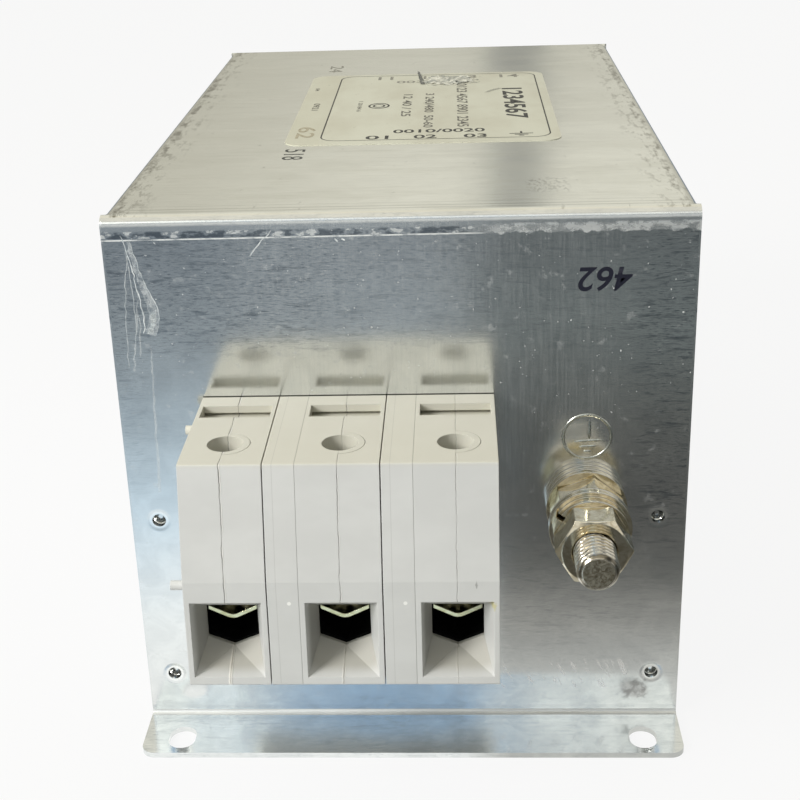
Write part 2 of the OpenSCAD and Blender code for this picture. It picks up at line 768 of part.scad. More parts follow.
module box_capacitor(w, l, h) {
    translate([0, cap_far + l / 2, sheet_t]) linear_extrude(h) rounded_2d(w, l, 1.5);
}

module x_capacitors(end) color([0.30, 0.42, 0.62])
    for (i = phases) mirror([0, end > 0 ? 1 : 0, 0])
        translate([terminal_x(i), -case_l / 2, 0]) box_capacitor(cap_w, cap_l, cap_h);

module y_capacitors() color([0.30, 0.42, 0.62])
    for (end = ends) mirror([0, end > 0 ? 1 : 0, 0])
        translate([stud_x, -case_l / 2 - cap_far + 4, 0]) box_capacitor(earth_cap_w, cap_l, earth_cap_h);

// Leads are drawn inwards from the load end's wall and mirrored for the line end
module upright(x, inwards, low, high) {
    translate([x, -case_l / 2 + inwards, low]) cylinder(h = high - low, d = lead_d);
}

module capacitor_leads(end) color([0.75, 0.75, 0.75])
    mirror([0, end > 0 ? 1 : 0, 0]) {
        for (i = phases) {
            upright(terminal_x(i), phase_lead_at, cap_top, tongue_z);
            upright(terminal_x(i), star_at, cap_top, rail_z);
        }
        upright(stud_x, star_at, sheet_t + earth_cap_h, rail_z);
        translate([terminal_x(0) - lead_d / 2, -case_l / 2 + star_at, rail_z]) rotate([0, 90, 0])
            cylinder(h = stud_x - terminal_x(0) + lead_d, d = lead_d + 0.4);
        upright(stud_x, sheet_t + head_h - 1.2, sheet_t + earth_cap_h, stud_z - nut_af / 2);
    }

module discharge_resistors() color([0.70, 0.62, 0.45])
    for (i = phases) {
        wire_l = star_at - phase_lead_at - lead_d - 0.1;
        translate([terminal_x(i), case_l / 2 - (phase_lead_at + star_at) / 2, cap_top + rail_rise / 2]) rotate([90, 0, 0]) {
            cylinder(h = wire_l, d = 0.6 * lead_d, center = true);
            cylinder(h = resistor_l, d = resistor_d, center = true);
        }
    }

// ---- The part ----

hood();
base_plate();
rating_label();

for (end = ends, i = phases) at_end(end, terminal_x(i)) {
    side = end < 0 ? "load" : "line";
    left_shell();
    right_shell();
    clamp_cage();
    pressure_plate();
    current_bar();
}

// A spacer stands on the left of the second and third terminal, as seen from its own end
for (end = ends, k = [1, 2]) at_end(end, terminal_x(end < 0 ? k : 2 - k)) {
    side = end < 0 ? "load" : "line";
    spacer();
}

clamp_screws();
earth_studs();
earth_wall_washers();
earth_base_washers();
earth_base_nuts();
earth_lug_washers();
earth_spring_washers();
earth_outer_nuts();
choke_saddle();
choke_core();
winding(0);  // choke_winding_l1
winding(1);  // choke_winding_l2
winding(2);  // choke_winding_l3
x_capacitors(-1);  // load_x_capacitors
x_capacitors(1);  // line_x_capacitors
capacitor_leads(-1);  // load_capacitor_leads
capacitor_leads(1);  // line_capacitor_leads
y_capacitors();
discharge_resistors();
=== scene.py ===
import math

import bpy
from mathutils import Matrix, Vector, noise


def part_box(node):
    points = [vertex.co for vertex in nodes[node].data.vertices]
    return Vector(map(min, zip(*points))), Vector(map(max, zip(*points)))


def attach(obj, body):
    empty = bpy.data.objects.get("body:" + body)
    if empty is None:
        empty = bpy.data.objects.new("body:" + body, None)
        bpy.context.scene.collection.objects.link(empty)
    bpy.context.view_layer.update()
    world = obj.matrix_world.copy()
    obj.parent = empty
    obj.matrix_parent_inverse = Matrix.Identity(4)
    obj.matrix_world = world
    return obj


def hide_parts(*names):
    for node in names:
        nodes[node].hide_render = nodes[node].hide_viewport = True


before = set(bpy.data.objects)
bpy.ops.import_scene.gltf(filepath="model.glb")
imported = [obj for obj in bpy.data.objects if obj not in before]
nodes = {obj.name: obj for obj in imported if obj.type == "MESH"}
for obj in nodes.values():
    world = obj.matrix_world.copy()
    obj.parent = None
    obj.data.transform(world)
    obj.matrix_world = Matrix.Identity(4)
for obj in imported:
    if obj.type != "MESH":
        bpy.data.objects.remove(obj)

scene = bpy.context.scene
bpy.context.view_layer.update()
mm = 0.001
print("frame:", len(nodes), "nodes")

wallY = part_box("load_spacer_1")[1].y / mm        # outer face of the load end wall
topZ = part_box("rating_label")[0].z / mm          # outer face of the case's top
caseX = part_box("hood")[1].x / mm                 # outer face of the right side wall
sheetThick = 1.5                                 # also the height of the feet


# a socket that adds Math nodes when it stands in an expression
class Wire:
    def __init__(self, paint, end):
        self.paint, self.end = paint, end

    def maths(self, kind, *given, clamp=False):
        return self.paint.add("ShaderNodeMath", {"operation": kind, "use_clamp": clamp}, dict(enumerate(given)))

    def __add__(self, other): return self.maths("ADD", self, other)
    def __radd__(self, other): return self.maths("ADD", other, self)
    def __sub__(self, other): return self.maths("SUBTRACT", self, other)
    def __rsub__(self, other): return self.maths("SUBTRACT", other, self)
    def __mul__(self, other): return self.maths("MULTIPLY", self, other)
    def __rmul__(self, other): return self.maths("MULTIPLY", other, self)
    def __truediv__(self, other): return self.maths("DIVIDE", self, other)
    def __rtruediv__(self, other): return self.maths("DIVIDE", other, self)
    def __abs__(self): return self.maths("ABSOLUTE", self)

    def clip(self): return self.maths("ADD", self, 0.0, clamp=True)
    def most(self, other): return self.maths("MAXIMUM", self, other)
    def least(self, other): return self.maths("MINIMUM", self, other)
    def floor(self): return self.maths("FLOOR", self)
    def far(self, other): return self.maths("SQRT", self * self + other * other)

    # 0 below low, 1 above high, smooth between (or the other way round when low > high)
    def rise(self, low, high):
        settings = {"interpolation_type": "SMOOTHSTEP", "clamp": True}
        if low < high:
            return self.paint.add("ShaderNodeMapRange", settings, {0: self, 1: low, 2: high})
        return self.paint.add("ShaderNodeMapRange", settings, {0: self, 1: high, 2: low, 3: 1.0, 4: 0.0})

    # 1 between low and high, with soft borders
    def within(self, low, high, soft):
        return self.rise(low - soft, low) * self.rise(high + soft, high)


# one node tree, of a material or of the world
class Paint:
    def __init__(self, name, tree=None):
        if tree is None:
            self.material = bpy.data.materials.new(name)
            self.material.use_nodes = True
            tree = self.material.node_tree
        self.tree = tree
        tree.nodes.clear()
        self.spotWires = None

    def add(self, kind, settings=None, sockets=None, out=0):
        node = self.tree.nodes.new(kind)
        for key, value in (settings or {}).items():
            if key == "stops":
                ramp = node.color_ramp
                ramp.elements.remove(ramp.elements[1])
                ramp.elements[0].position, ramp.elements[0].color = value[0]
                for place, colour in value[1:]:
                    ramp.elements.new(place).color = colour
            else:
                setattr(node, key, value)
        for key, value in (sockets or {}).items():
            if isinstance(value, Wire):
                self.tree.links.new(value.end, node.inputs[key])
            else:
                node.inputs[key].default_value = value
        return Wire(self, node.outputs[out])

    # the point's place in millimetres, as x, y and z
    def spot(self):
        if self.spotWires is None:
            point = self.add("ShaderNodeTexCoord", out=3)
            scaled = self.add("ShaderNodeVectorMath", {"operation": "SCALE"}, {0: point, 3: 1000.0})
            self.spotWires = [self.add("ShaderNodeSeparateXYZ", None, {0: scaled}, out=i) for i in range(3)]
        return self.spotWires

    # distance in x and z from a line that runs along the case
    def around(self, place):
        return (self.spot()[0] - place[0]).far(self.spot()[2] - place[1])

    # how far a face looks along one axis
    def facing(self, axis):
        return self.add("ShaderNodeSeparateXYZ", None, {0: self.add("ShaderNodeNewGeometry", out=1)}, out=axis)

    # noise with its own fineness along each axis, per millimetre
    def noise(self, fineness, detail=2.0, rough=0.5, shift=0.0, twist=0.0):
        x, y, z = self.spot()
        place = self.add("ShaderNodeCombineXYZ", None,
                         {0: x * fineness[0] + shift, 1: y * fineness[1] + shift, 2: z * fineness[2] + shift})
        return self.add("ShaderNodeTexNoise", None,
                        {"Vector": place, "Scale": 1.0, "Detail": detail, "Roughness": rough, "Distortion": twist})

    def mix(self, mask, one, two):
        return self.add("ShaderNodeMix", {"data_type": "RGBA"}, {0: mask, 6: one, 7: two}, out=2)

    def ramp(self, wire, stops):
        return self.add("ShaderNodeValToRGB", {"stops": stops}, {0: wire})

    def bump(self, height, depth, strength=1.0, normal=None):
        sockets = {"Height": height, "Distance": depth * mm, "Strength": strength}
        if normal is not None:
            sockets["Normal"] = normal
        return self.add("ShaderNodeBump", None, sockets)

    def bevel(self, radius):
        return self.add("ShaderNodeBevel", {"samples": 4}, {"Radius": radius * mm})

    def surface(self, **sockets):
        names = {key: key.replace("_", " ") for key in sockets}
        shader = self.add("ShaderNodeBsdfPrincipled", None, {names[key]: value for key, value in sockets.items()})
        self.end(shader)
        return self.material

    def end(self, shader, kind="ShaderNodeOutputMaterial"):
        node = self.tree.nodes.new(kind)
        self.tree.links.new(shader.end, node.inputs["Surface"])


# a colour written in 0 to 255 steps
def tint(red, green, blue):
    steps = [channel / 255 for channel in (red, green, blue)]
    return tuple(s / 12.92 if s <= 0.04045 else ((s + 0.055) / 1.055) ** 2.4 for s in steps) + (1.0,)


def wear(name, material):
    piece = nodes[name] if isinstance(name, str) else name
    piece.data.materials.clear()
    piece.data.materials.append(material)


# a new mesh piece in millimetres that rides on the case
def makePiece(name, points, faces, material, smooth=True):
    mesh = bpy.data.meshes.new(name)
    mesh.from_pydata([Vector(p) * mm for p in points], [], faces)
    mesh.update()
    for face in mesh.polygons:
        face.use_smooth = smooth
    piece = bpy.data.objects.new(name, mesh)
    scene.collection.objects.link(piece)
    mesh.materials.append(material)
    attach(piece, "root")
    return piece


cameraPlace = {"x": 13.666, "y": -429.974, "z": 231.705, "turn": 3.1246, "tilt": 67.834,
               "roll": -1.9505, "lens": 64.246, "shiftX": 0.01705, "shiftY": -0.04215}


def placeCamera(place):
    lens = bpy.data.cameras.new("camera")
    lens.lens, lens.sensor_width = place["lens"], 36
    lens.shift_x, lens.shift_y = place["shiftX"], place["shiftY"]
    lens.clip_start = 0.01
    camera = bpy.data.objects.new("camera", lens)
    scene.collection.objects.link(camera)
    turn, tilt, roll = [Matrix.Rotation(math.radians(place[key]), 4, axis)
                        for key, axis in (("turn", "Z"), ("tilt", "X"), ("roll", "Z"))]
    stand = Matrix.Translation(Vector((place["x"], place["y"], place["z"])) * mm)
    camera.matrix_world = stand @ turn @ tilt @ roll
    scene.camera = camera


placeCamera(cameraPlace)
scene.view_settings.view_transform = "Standard"
print("camera placed")

# world, one soft lamp and a pale floor
studio = {"overhead": (1.47, 1.41, 1.22, 1), "back": (1.38, 1.36, 1.21, 1), "backLow": (0.90, 0.88, 0.76, 1),
          "front": (0.25, 0.27, 0.30, 1), "frontLow": (1.20, 1.19, 1.13, 1),
          "leftSide": (1.15, 1.15, 1.12, 1), "rightSide": (0.16, 0.165, 0.16, 1),
          "upright": (0.46, 0.47, 0.44, 1), "warm": (0.66, 0.63, 0.52, 1), "worldLevel": 0.60,
          # what stands in front: left and right edge, soft border and colour
          "strips": [(-0.30, -0.16, 0.04, (2.8, 2.85, 2.70, 1)), (0.05, 0.20, 0.05, (2.3, 2.32, 2.2, 1)),
                     (-0.13, 0.015, 0.03, (0.56, 0.92, 1.36, 1))],
          "keyPlace": (-840, -740, 690), "keyAim": (0, -50, 60), "keySize": 520, "keyPower": 13.9,
          "keyColour": (1.0, 0.99, 0.97),
          "floorSize": 6000, "floor": (0.55, 0.55, 0.54, 1), "floorReach": 420, "floorSeen": 0.89}


def lightStudio(look):
    world = bpy.data.worlds.new("studio")
    scene.world = world
    world.use_nodes = True
    sky = Paint("studio", world.node_tree)
    way = sky.add("ShaderNodeTexCoord", out=0)
    wx, wy, wz = [sky.add("ShaderNodeSeparateXYZ", None, {0: way}, out=i) for i in range(3)]
    colour = sky.mix(wy.rise(-0.3, 0.5), look["front"], look["back"])
    colour = sky.mix(wx.rise(-0.2, -0.7), colour, look["leftSide"])
    colour = sky.mix(wx.rise(0.2, 0.7), colour, look["rightSide"])
    # a blue-grey figure stands in front between two bright strips, dim uprights stand behind
    strip = wy.rise(-0.3, -0.5) * wz.within(0.50, 0.67, 0.05)
    for left, right, soft, shown in look["strips"]:
        colour = sky.mix(strip * wx.within(left, right, soft), colour, shown)
    side = wx / wy.most(0.05)
    behind = wy.rise(0.5, 0.8) * wz.rise(0.5, 0.35)
    colour = sky.mix(behind * wz.rise(0.27, 0.165), colour, look["backLow"])
    colour = sky.mix(side.within(0.028, 0.058, 0.008) * behind * 0.9, colour, look["upright"])
    colour = sky.mix(side.rise(0.0, -0.24) * behind * 0.5, colour, look["warm"])
    colour = sky.mix(wz.rise(0.62, 0.86), colour, look["overhead"])
    # mirror-bright metal also finds a pale front near the horizon
    gloss = sky.add("ShaderNodeLightPath", out=3)
    colour = sky.mix(gloss * wy.rise(0.0, -0.4) * wz.rise(0.44, 0.32), colour, look["frontLow"])
    seen = sky.add("ShaderNodeLightPath", out=0)
    soft = sky.add("ShaderNodeBackground", None, {0: colour, 1: look["worldLevel"]})
    white = sky.add("ShaderNodeBackground", None, {0: (1, 1, 1, 1), 1: 1.0})
    sky.end(sky.add("ShaderNodeMixShader", None, {0: seen, 1: soft, 2: white}), "ShaderNodeOutputWorld")

    lamp = bpy.data.lights.new("softbox", "AREA")
    lamp.shape, lamp.size = "DISK", look["keySize"] * mm
    lamp.energy = look["keyPower"]
    lamp.color = look["keyColour"]
    box = bpy.data.objects.new("softbox", lamp)
    scene.collection.objects.link(box)
    place, aim = Vector(look["keyPlace"]) * mm, Vector(look["keyAim"]) * mm
    box.matrix_world = Matrix.Translation(place) @ (place - aim).to_track_quat("Z", "Y").to_matrix().to_4x4()


# what the mirror-bright sheet shows of the floor, by the distance from the case
floorStops = {"left": [(0.0, (1.05, 1.05, 1.02, 1)), (0.12, (1.08, 1.12, 1.12, 1)), (0.28, (0.74, 0.90, 1.02, 1)),
                       (0.45, (0.43, 0.52, 0.59, 1)), (0.70, (0.27, 0.31, 0.335, 1)), (1.0, (0.19, 0.225, 0.26, 1))],
              "right": [(0.0, (0.80, 0.80, 0.76, 1)), (0.05, (0.60, 0.60, 0.57, 1)), (0.11, (0.35, 0.345, 0.32, 1)),
                        (0.18, (0.14, 0.14, 0.13, 1)), (0.28, (0.085, 0.085, 0.08, 1)), (0.50, (0.09, 0.096, 0.09, 1)),
                        (0.72, (0.15, 0.175, 0.175, 1)), (1.0, (0.10, 0.115, 0.12, 1))]}


def layFloor(look, stops):
    paint = Paint("paleFloor")
    x, y = paint.spot()[:2]
    matt = paint.add("ShaderNodeBsdfDiffuse", None, {"Color": look["floor"]})
    seen = paint.add("ShaderNodeLightPath", out=0)
    gloss = paint.add("ShaderNodeLightPath", out=3)
    overX, overY = (abs(x) + (-caseX)).most(0.0), (abs(y) + wallY).most(0.0)
    distance = overX.far(overY) / look["floorReach"]
    rightHand = (x.rise(10, 27) * y.rise(0, -100)).clip()
    shade = paint.mix(rightHand, paint.ramp(distance, stops["left"]), paint.ramp(distance, stops["right"]))
    white = paint.add("ShaderNodeEmission", None, {0: (1, 1, 1, 1), 1: 1.0})
    shown = paint.add("ShaderNodeEmission", None, {0: shade, 1: 1.0})
    base = paint.add("ShaderNodeMixShader", None, {0: seen * look["floorSeen"], 1: matt, 2: white})
    paint.end(paint.add("ShaderNodeMixShader", None, {0: gloss, 1: base, 2: shown}))
    half = look["floorSize"] / 2 * mm
    mesh = bpy.data.meshes.new("floor")
    mesh.from_pydata([(-half, -half, 0), (half, -half, 0), (half, half, 0), (-half, half, 0)], [], [(0, 1, 2, 3)])
    mesh.materials.append(paint.material)
    floor = bpy.data.objects.new("floor", mesh)
    scene.collection.objects.link(floor)


lightStudio(studio)
layFloor(studio, floorStops)
print("studio lit")

# galvanised sheet of the case
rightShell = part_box("load_terminal_1_right_shell")
block = {"top": rightShell[1].z / mm, "left": (2 * rightShell[0].x - rightShell[1].x) / mm,
         "right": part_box("load_terminal_3_right_shell")[1].x / mm}
sheet = {"pale": (0.80, 0.815, 0.81, 1), "dull": (0.62, 0.64, 0.645, 1), "dark": (0.20, 0.235, 0.27, 1),
         "chalkAndHighlight": (0.74, 0.76, 0.75, 1), "bright": (0.96, 0.96, 0.94, 1), "clinchShade": (0.06, 0.065, 0.06, 1),
         "sheenBelowFold": (0.62, 0.66, 0.68, 1), "foldHighlight": (0.93, 0.92, 0.85, 1), "dashes": (0.16, 0.19, 0.22, 1),
         "top": (0.88, 0.87, 0.78, 1), "topShade": (0.56, 0.55, 0.47, 1), "scuff": (0.26, 0.25, 0.21, 1),
         "brake": (0.34, 0.34, 0.30, 1), "stain": (0.16, 0.16, 0.15, 1), "glint": (0.98, 0.92, 0.72, 1),
         "residue": (1.0, 1.0, 0.99, 1), "shadedJoint": (0.04, 0.04, 0.04, 1),
         "gloss": 0.11, "bandTop": 137.2, "bandLow": 134.6, "foldTop": 138.2,
         "lowClinch": 14.0, "highClinch": 60.0, "clinchX": 63.0,
         # on the load end: low and high x, low and high z
         "residueAt": (26, 56, 10.5, 16.5), "dullAt": (28, 60, 7, 22), "stainAt": (56.5, 61.5, 6.5, 11.0),
         "glintAt": (41.7, 79.7),
         # on the top: low and high x, low and high y, and lines by their y from the middle, half width and strength
         "speckledAt": (32, 40, -94, -84), "brakeLines": ((105.2, 0.5, 1.0), (107.2, 0.4, 1.0), (102.6, 0.3, 0.6))}


def sheetPaint(look):
    paint = Paint("galvanisedSheet")
    x, y, z = paint.spot()
    side = abs(x).rise(caseX - 0.6, caseX - 0.3)
    top = z.rise(topZ - 0.5, topZ - 0.2)
    end = abs(y).rise(-wallY - 0.5, -wallY - 0.2) * z.rise(sheetThick, sheetThick + 0.5)
    front = y.rise(wallY + 0.5, wallY + 0.2) * z.rise(sheetThick, sheetThick + 0.5)
    # rolled streaks run across the case, and down its side walls
    fine = paint.noise((0.50, 3.0, 3.5 - 3.0 * side), 5.0, 0.74, 0.0, 0.10)
    broad = paint.noise((0.13, 0.9, 0.9 - 0.77 * side), 4.0, 0.65, 0.0, 0.5)
    cloud = paint.noise((0.022, 0.022, 0.022), 3.0, 0.55, 3.7)
    spangle = paint.noise((0.11, 0.11, 0.11), 4.0, 0.6, 9.1, 0.8)
    wipe = paint.noise((2.3, 0.5, 0.09), 4.0, 0.65, 6.6, 0.3)

    # where the streaks are strong: upper left and the right margin of the load end
    upperLeft = (front * x.rise(4, -42) * z.rise(84, 118)).clip()
    rightMargin = front * x.rise(50, 64) * z.rise(44, 66)
    calm = front * (x.within(-60, 20, 6) * z.rise(109, 102) + x.rise(-44, -56) * z.rise(78, 62)).clip()
    strong = 0.20 + 0.28 * front * z.rise(102, 112) + 0.55 * upperLeft + 0.98 * rightMargin
    strong = (strong + 0.22 * cloud.rise(0.45, 0.65)) * (1 - 0.85 * top) * (1 - 0.8 * calm)
    dashes = fine.rise(0.51, 0.66) * strong
    patches = broad.rise(0.50, 0.70) * strong

    colour = paint.mix(spangle.rise(0.35, 0.7) * (0.5 - 0.2 * top), look["pale"], look["dull"])
    colour = paint.mix((patches * 0.55).clip(), colour, look["dark"])
    colour = paint.mix((dashes * 0.74).clip(), colour, look["dark"])

    # pale veil of fine wiped scratches, and light flecks between the streaks
    wiped = 0.05 * wipe.rise(0.42, 0.62) * z.rise(50, 80) * x.within(-34, 46, 14)
    veil = front * (0.04 + wiped + 0.11 * z.rise(100, 124) * x.within(-26, 8, 22) * fine.rise(0.62, 0.40))
    flecks = upperLeft * fine.rise(0.44, 0.28) * 0.34

    # brake marks under the upper fold, beside painted light: a painted highlight on the fold, a painted sheen band
    # below it, and a painted highlight and a painted shade line at the foot's bend
    ragged = paint.noise((0.30, 0.6, 0.5), 3.0, 0.6, 1.3)
    edge = paint.noise((0.35, 0.0, 0.0), 2.0, 0.5, 5.0)
    band = end * z.within(look["bandLow"] + 0.3, look["bandTop"] - 0.9, 0.3)
    dashBand = band * x.rise(26, 18) * ragged.rise(0.48, 0.58)
    dashLight = band * x.rise(26, 18) * ragged.rise(0.46, 0.38) * 0.4
    lineZ = z - look["bandLow"] - x * 0.004
    line = end * abs(lineZ).rise(0.22, 0.10) * x.rise(24, 14) * (0.25 + 0.75 * ragged.rise(0.35, 0.6))
    flakes = end * (z + (edge - 0.5) * 3.0).rise(look["bandLow"] - 0.1, look["bandLow"] + 0.2) * z.rise(137.4, 136.6)
    flakes = flakes * x.rise(12, 26) * (0.30 + 0.55 * ragged.rise(0.40, 0.60))
    # painted sheen: the band just below the fold is painted paler and partly chalky
    above = end * z.rise(136.0, 136.8)
    # painted highlight: the rounded fold at the top of each end wall is painted cream and chalky
    fold = end * z.rise(look["foldTop"], look["foldTop"] + 0.7)
    colour = paint.mix((dashBand * 0.8).clip(), colour, look["dashes"])
    colour = paint.mix(above * 0.7, colour, look["sheenBelowFold"])
    # painted highlight along the foot's bend, and a painted shade line just above it
    bendHighlight = abs(y).within(-wallY - 0.1, -wallY + 0.9, 0.3) * z.within(1.5, 2.3, 0.3)
    crease = end * z.within(3.0, 3.7, 0.4)
    colour = paint.mix(crease * 0.12, colour, look["dark"])

    # rubbed residue low on the right of the load end, and specks
    combed = paint.add("ShaderNodeCombineXYZ", None, {0: x * 0.75 + z * 0.35, 1: 2.0, 2: z * 0.16})
    comb = paint.add("ShaderNodeTexNoise", None,
                     {"Vector": combed, "Scale": 1.0, "Detail": 3.0, "Roughness": 0.6, "Distortion": 0.5})

    def patch(name, softX, softZ):
        left, right, low, high = look[name]
        return front * x.within(left, right, softX) * z.within(low, high, softZ)

    residue = patch("residueAt", 7, 2.5) * comb.rise(0.54, 0.66)
    speck = paint.noise((1.1, 1.1, 1.1), 2.0, 0.5, 7.7)
    specks = (speck.rise(0.735, 0.775) * (front * (0.35 + 0.65 * x.rise(20, 60)) * z.rise(80, 100) + 0.2)).clip()
    blotch = paint.noise((0.30, 0.3, 0.30), 4.0, 0.65, 2.2).rise(0.60, 0.70) * end * 0.35
    # chalky non-metal marks, partly real (flakes, residue, specks, blotches, flecks, wiped veil) and partly painted
    # highlight and sheen on the fold and the bend
    chalkAndHighlight = (line * 0.9).most(flakes * 0.5).most(residue * 0.45).most(specks * 0.9).most(blotch * 0.4)
    chalkAndHighlight = chalkAndHighlight.most(above * 0.12).most(fold * 0.55).most(flecks).most(dashLight).most(bendHighlight * 0.5)
    chalkAndHighlight = (chalkAndHighlight + veil).clip()
    colour = paint.mix(chalkAndHighlight, colour, look["chalkAndHighlight"])
    colour = paint.mix(patch("dullAt", 6, 5) * 0.4, colour, look["dull"])
    colour = paint.mix(residue.clip(), colour, look["residue"])
    colour = paint.mix(fold * 0.9, colour, look["foldHighlight"])
    smudge = paint.noise((0.45, 0.45, 0.45), 4.0, 0.6, 12.0).rise(0.42, 0.62)
    colour = paint.mix(smudge * patch("stainAt", 1.5, 1.5) * 0.5, colour, look["stain"])

    # painted shadow in the gap behind the terminals' tops, and a warm painted glint beside the earth sign
    shadedJoint = front * x.within(block["left"], block["right"], 0.2) * z.within(block["top"] - 0.1, block["top"] + 0.15, 0.1)
    colour = paint.mix(shadedJoint * 0.85, colour, look["shadedJoint"])
    # painted glint: a small warm highlight beside the earth sign
    glint = paint.around(look["glintAt"]) + (smudge - 0.5) * 0.8
    colour = paint.mix(front * glint.rise(1.7, 0.7) * 0.7, colour, look["glint"])

    # scuffs along both long edges of the top, faint brake lines behind the fold
    scuff = paint.noise((0.5, 0.16, 0.5), 4.0, 0.7, 4.4)
    dull = paint.noise((0.03, 0.09, 0.1), 5.0, 0.65, 13.0, 0.3)
    rolled = paint.noise((0.05, 0.9, 0.1), 4.0, 0.65, 15.0)
    scuffs = abs(x).rise(57, 66) * scuff.rise(0.52, 0.62) + scuff.rise(0.66, 0.72) * 0.6
    scuffs = scuffs + abs(x).within(66.0, 67.6, 0.5) * scuff.rise(0.40, 0.55)
    brake = 0.0
    for place, half, strength in look["brakeLines"]:
        brake = abs(y + place).rise(half, 0.1) * strength + brake
    left, right, near, away = look["speckledAt"]
    speckled = x.within(left, right, 2) * y.within(near, away, 3)
    speckled = speckled * paint.noise((1.0, 0.5, 1.0), 3.0, 0.6, 3.0).rise(0.48, 0.58)
    clouded = dull.rise(0.44, 0.66) * 0.16 + rolled.rise(0.50, 0.70) * 0.22
    # painted light: the top is painted creamier than the end walls, as if lit warm from above, and darker in cloudy
    # bands that are painted reflections
    colour = paint.mix(top * 0.5, colour, look["top"])
    colour = paint.mix((top * clouded).clip(), colour, look["topShade"])
    colour = paint.mix((top * (scuffs * 0.55 + speckled * 0.35)).clip(), colour, look["scuff"])
    colour = paint.mix((top * brake * 0.35).clip(), colour, look["brake"])

    # painted shade in the pressed foot of the clinch joints, and a painted highlight on the rim round them
    rx = abs(x) - look["clinchX"]
    low, high = z - look["lowClinch"], z - look["highClinch"]
    ring = rx.far(low).least(rx.far(high))
    ends = abs(y).rise(-wallY - 6, -wallY - 5)
    dip = ends * ring.rise(3.4, 1.9)
    colour = paint.mix(ends * ring.within(1.7, 2.3, 0.3) * 0.6, colour, look["bright"])
    colour = paint.mix(ends * ring.rise(1.75, 1.45) * ring.rise(0.45, 0.7) * 0.9, colour, look["clinchShade"])

    rough = look["gloss"] + 0.05 * spangle + 0.06 * (dashes + patches).clip() + 0.35 * chalkAndHighlight
    rough = rough + 0.03 * top + 0.04 * top * dull.rise(0.4, 0.7) + 0.08 * side
    wave = paint.noise((0.035, 0.035, 0.05), 1.0, 0.4, 6.0)
    height = wave * 0.22 + fine * 0.005 + broad * 0.008 + dip * -0.10
    normal = paint.bump(height, 1.0, 1.0)
    return paint.surface(Base_Color=colour, Metallic=(1 - chalkAndHighlight * 0.95).clip(), Roughness=rough.clip(), Normal=normal)


sheetMaterial = sheetPaint(sheet)
wear("hood", sheetMaterial)
wear("base_plate", sheetMaterial)


# drawn corners that close the notches between the top's folds, and the upright edges below them
corner = {"radius": 2.5, "runOut": 3.4, "reach": -wallY - 2.4, "sideEnd": -wallY - 4.15, "skin": 0.012,
          "uprightLow": 4.3, "uprightHigh": 0.1, "rows": 8, "around": 10}


def makeCorners(look):
    points, faces = [], []
    radius, rows, around = look["radius"], look["rows"], look["around"]
    turns = [math.pi / 2 * k / around for k in range(around + 1)]

    def weave(first, count, forward):
        for row in range(count):
            for k in range(around):
                a = first + row * (around + 1) + k
                quad = (a, a + 1, a + around + 2, a + around + 1)
                faces.append(quad if forward else quad[::-1])

    for sx in (-1, 1):
        for sy in (-1, 1):
            first = len(points)
            for row in range(rows + 1):
                t = row / rows
                for turn in turns:
                    square = radius / max(math.cos(turn), math.sin(turn))
                    r = radius + (square - radius) * t * t + look["skin"]
                    points.append((sx * (caseX - radius + r * math.cos(turn)),
                                   sy * (look["reach"] - look["runOut"] * (1 - t)),
                                   topZ - radius + r * math.sin(turn)))
            weave(first, rows, sx * sy > 0)
            first = len(points)
            r = radius + look["skin"]
            for z in (topZ - radius - look["uprightLow"], topZ - radius + look["uprightHigh"]):
                for turn in turns:
                    points.append((sx * (caseX - radius + r * math.cos(turn)),
                                   sy * (look["sideEnd"] + r * math.sin(turn)), z))
            weave(first, 1, sx * sy > 0)
    return makePiece("hood_corners", points, faces, sheetMaterial)


makeCorners(corner)
print("sheet painted")

# moulded terminals, split down the middle
plastic = {"grey": tint(203, 204, 202), "shade": tint(197, 198, 196), "litCream": tint(200, 196, 176),
           "foot": tint(188, 190, 186), "seam": tint(98, 96, 88), "edge": tint(110, 110, 104),
           "mouldLine": tint(120, 120, 114), "gate": tint(238, 238, 234), "flash": tint(228, 227, 222),
           "ridge": tint(238, 236, 228), "dustAndShade": tint(150, 145, 128), "grime": tint(112, 110, 100),
           "chip": tint(196, 190, 140), "fleck": tint(96, 96, 92),
           "seamX": rightShell[0].x / mm, "pitch": 26.15, "bendZ": 67.4,
           "reach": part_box("load_spacer_1")[0].y / -mm + wallY, "spacerX": -30.15, "spacerWide": 7.35, "mouldAt": 2.3,
           "gateAt": (5.1, 62.2), "chipAt": (20.6, 61.2), "fleckAt": (17.0, 66.6), "funnelTop": 61.0,
           # how dark each terminal's seam is, and how much of it is raised
           "seams": {1: (0.85, 1.0), 2: (0.55, 0.35), 3: (0.40, 0.30)}}


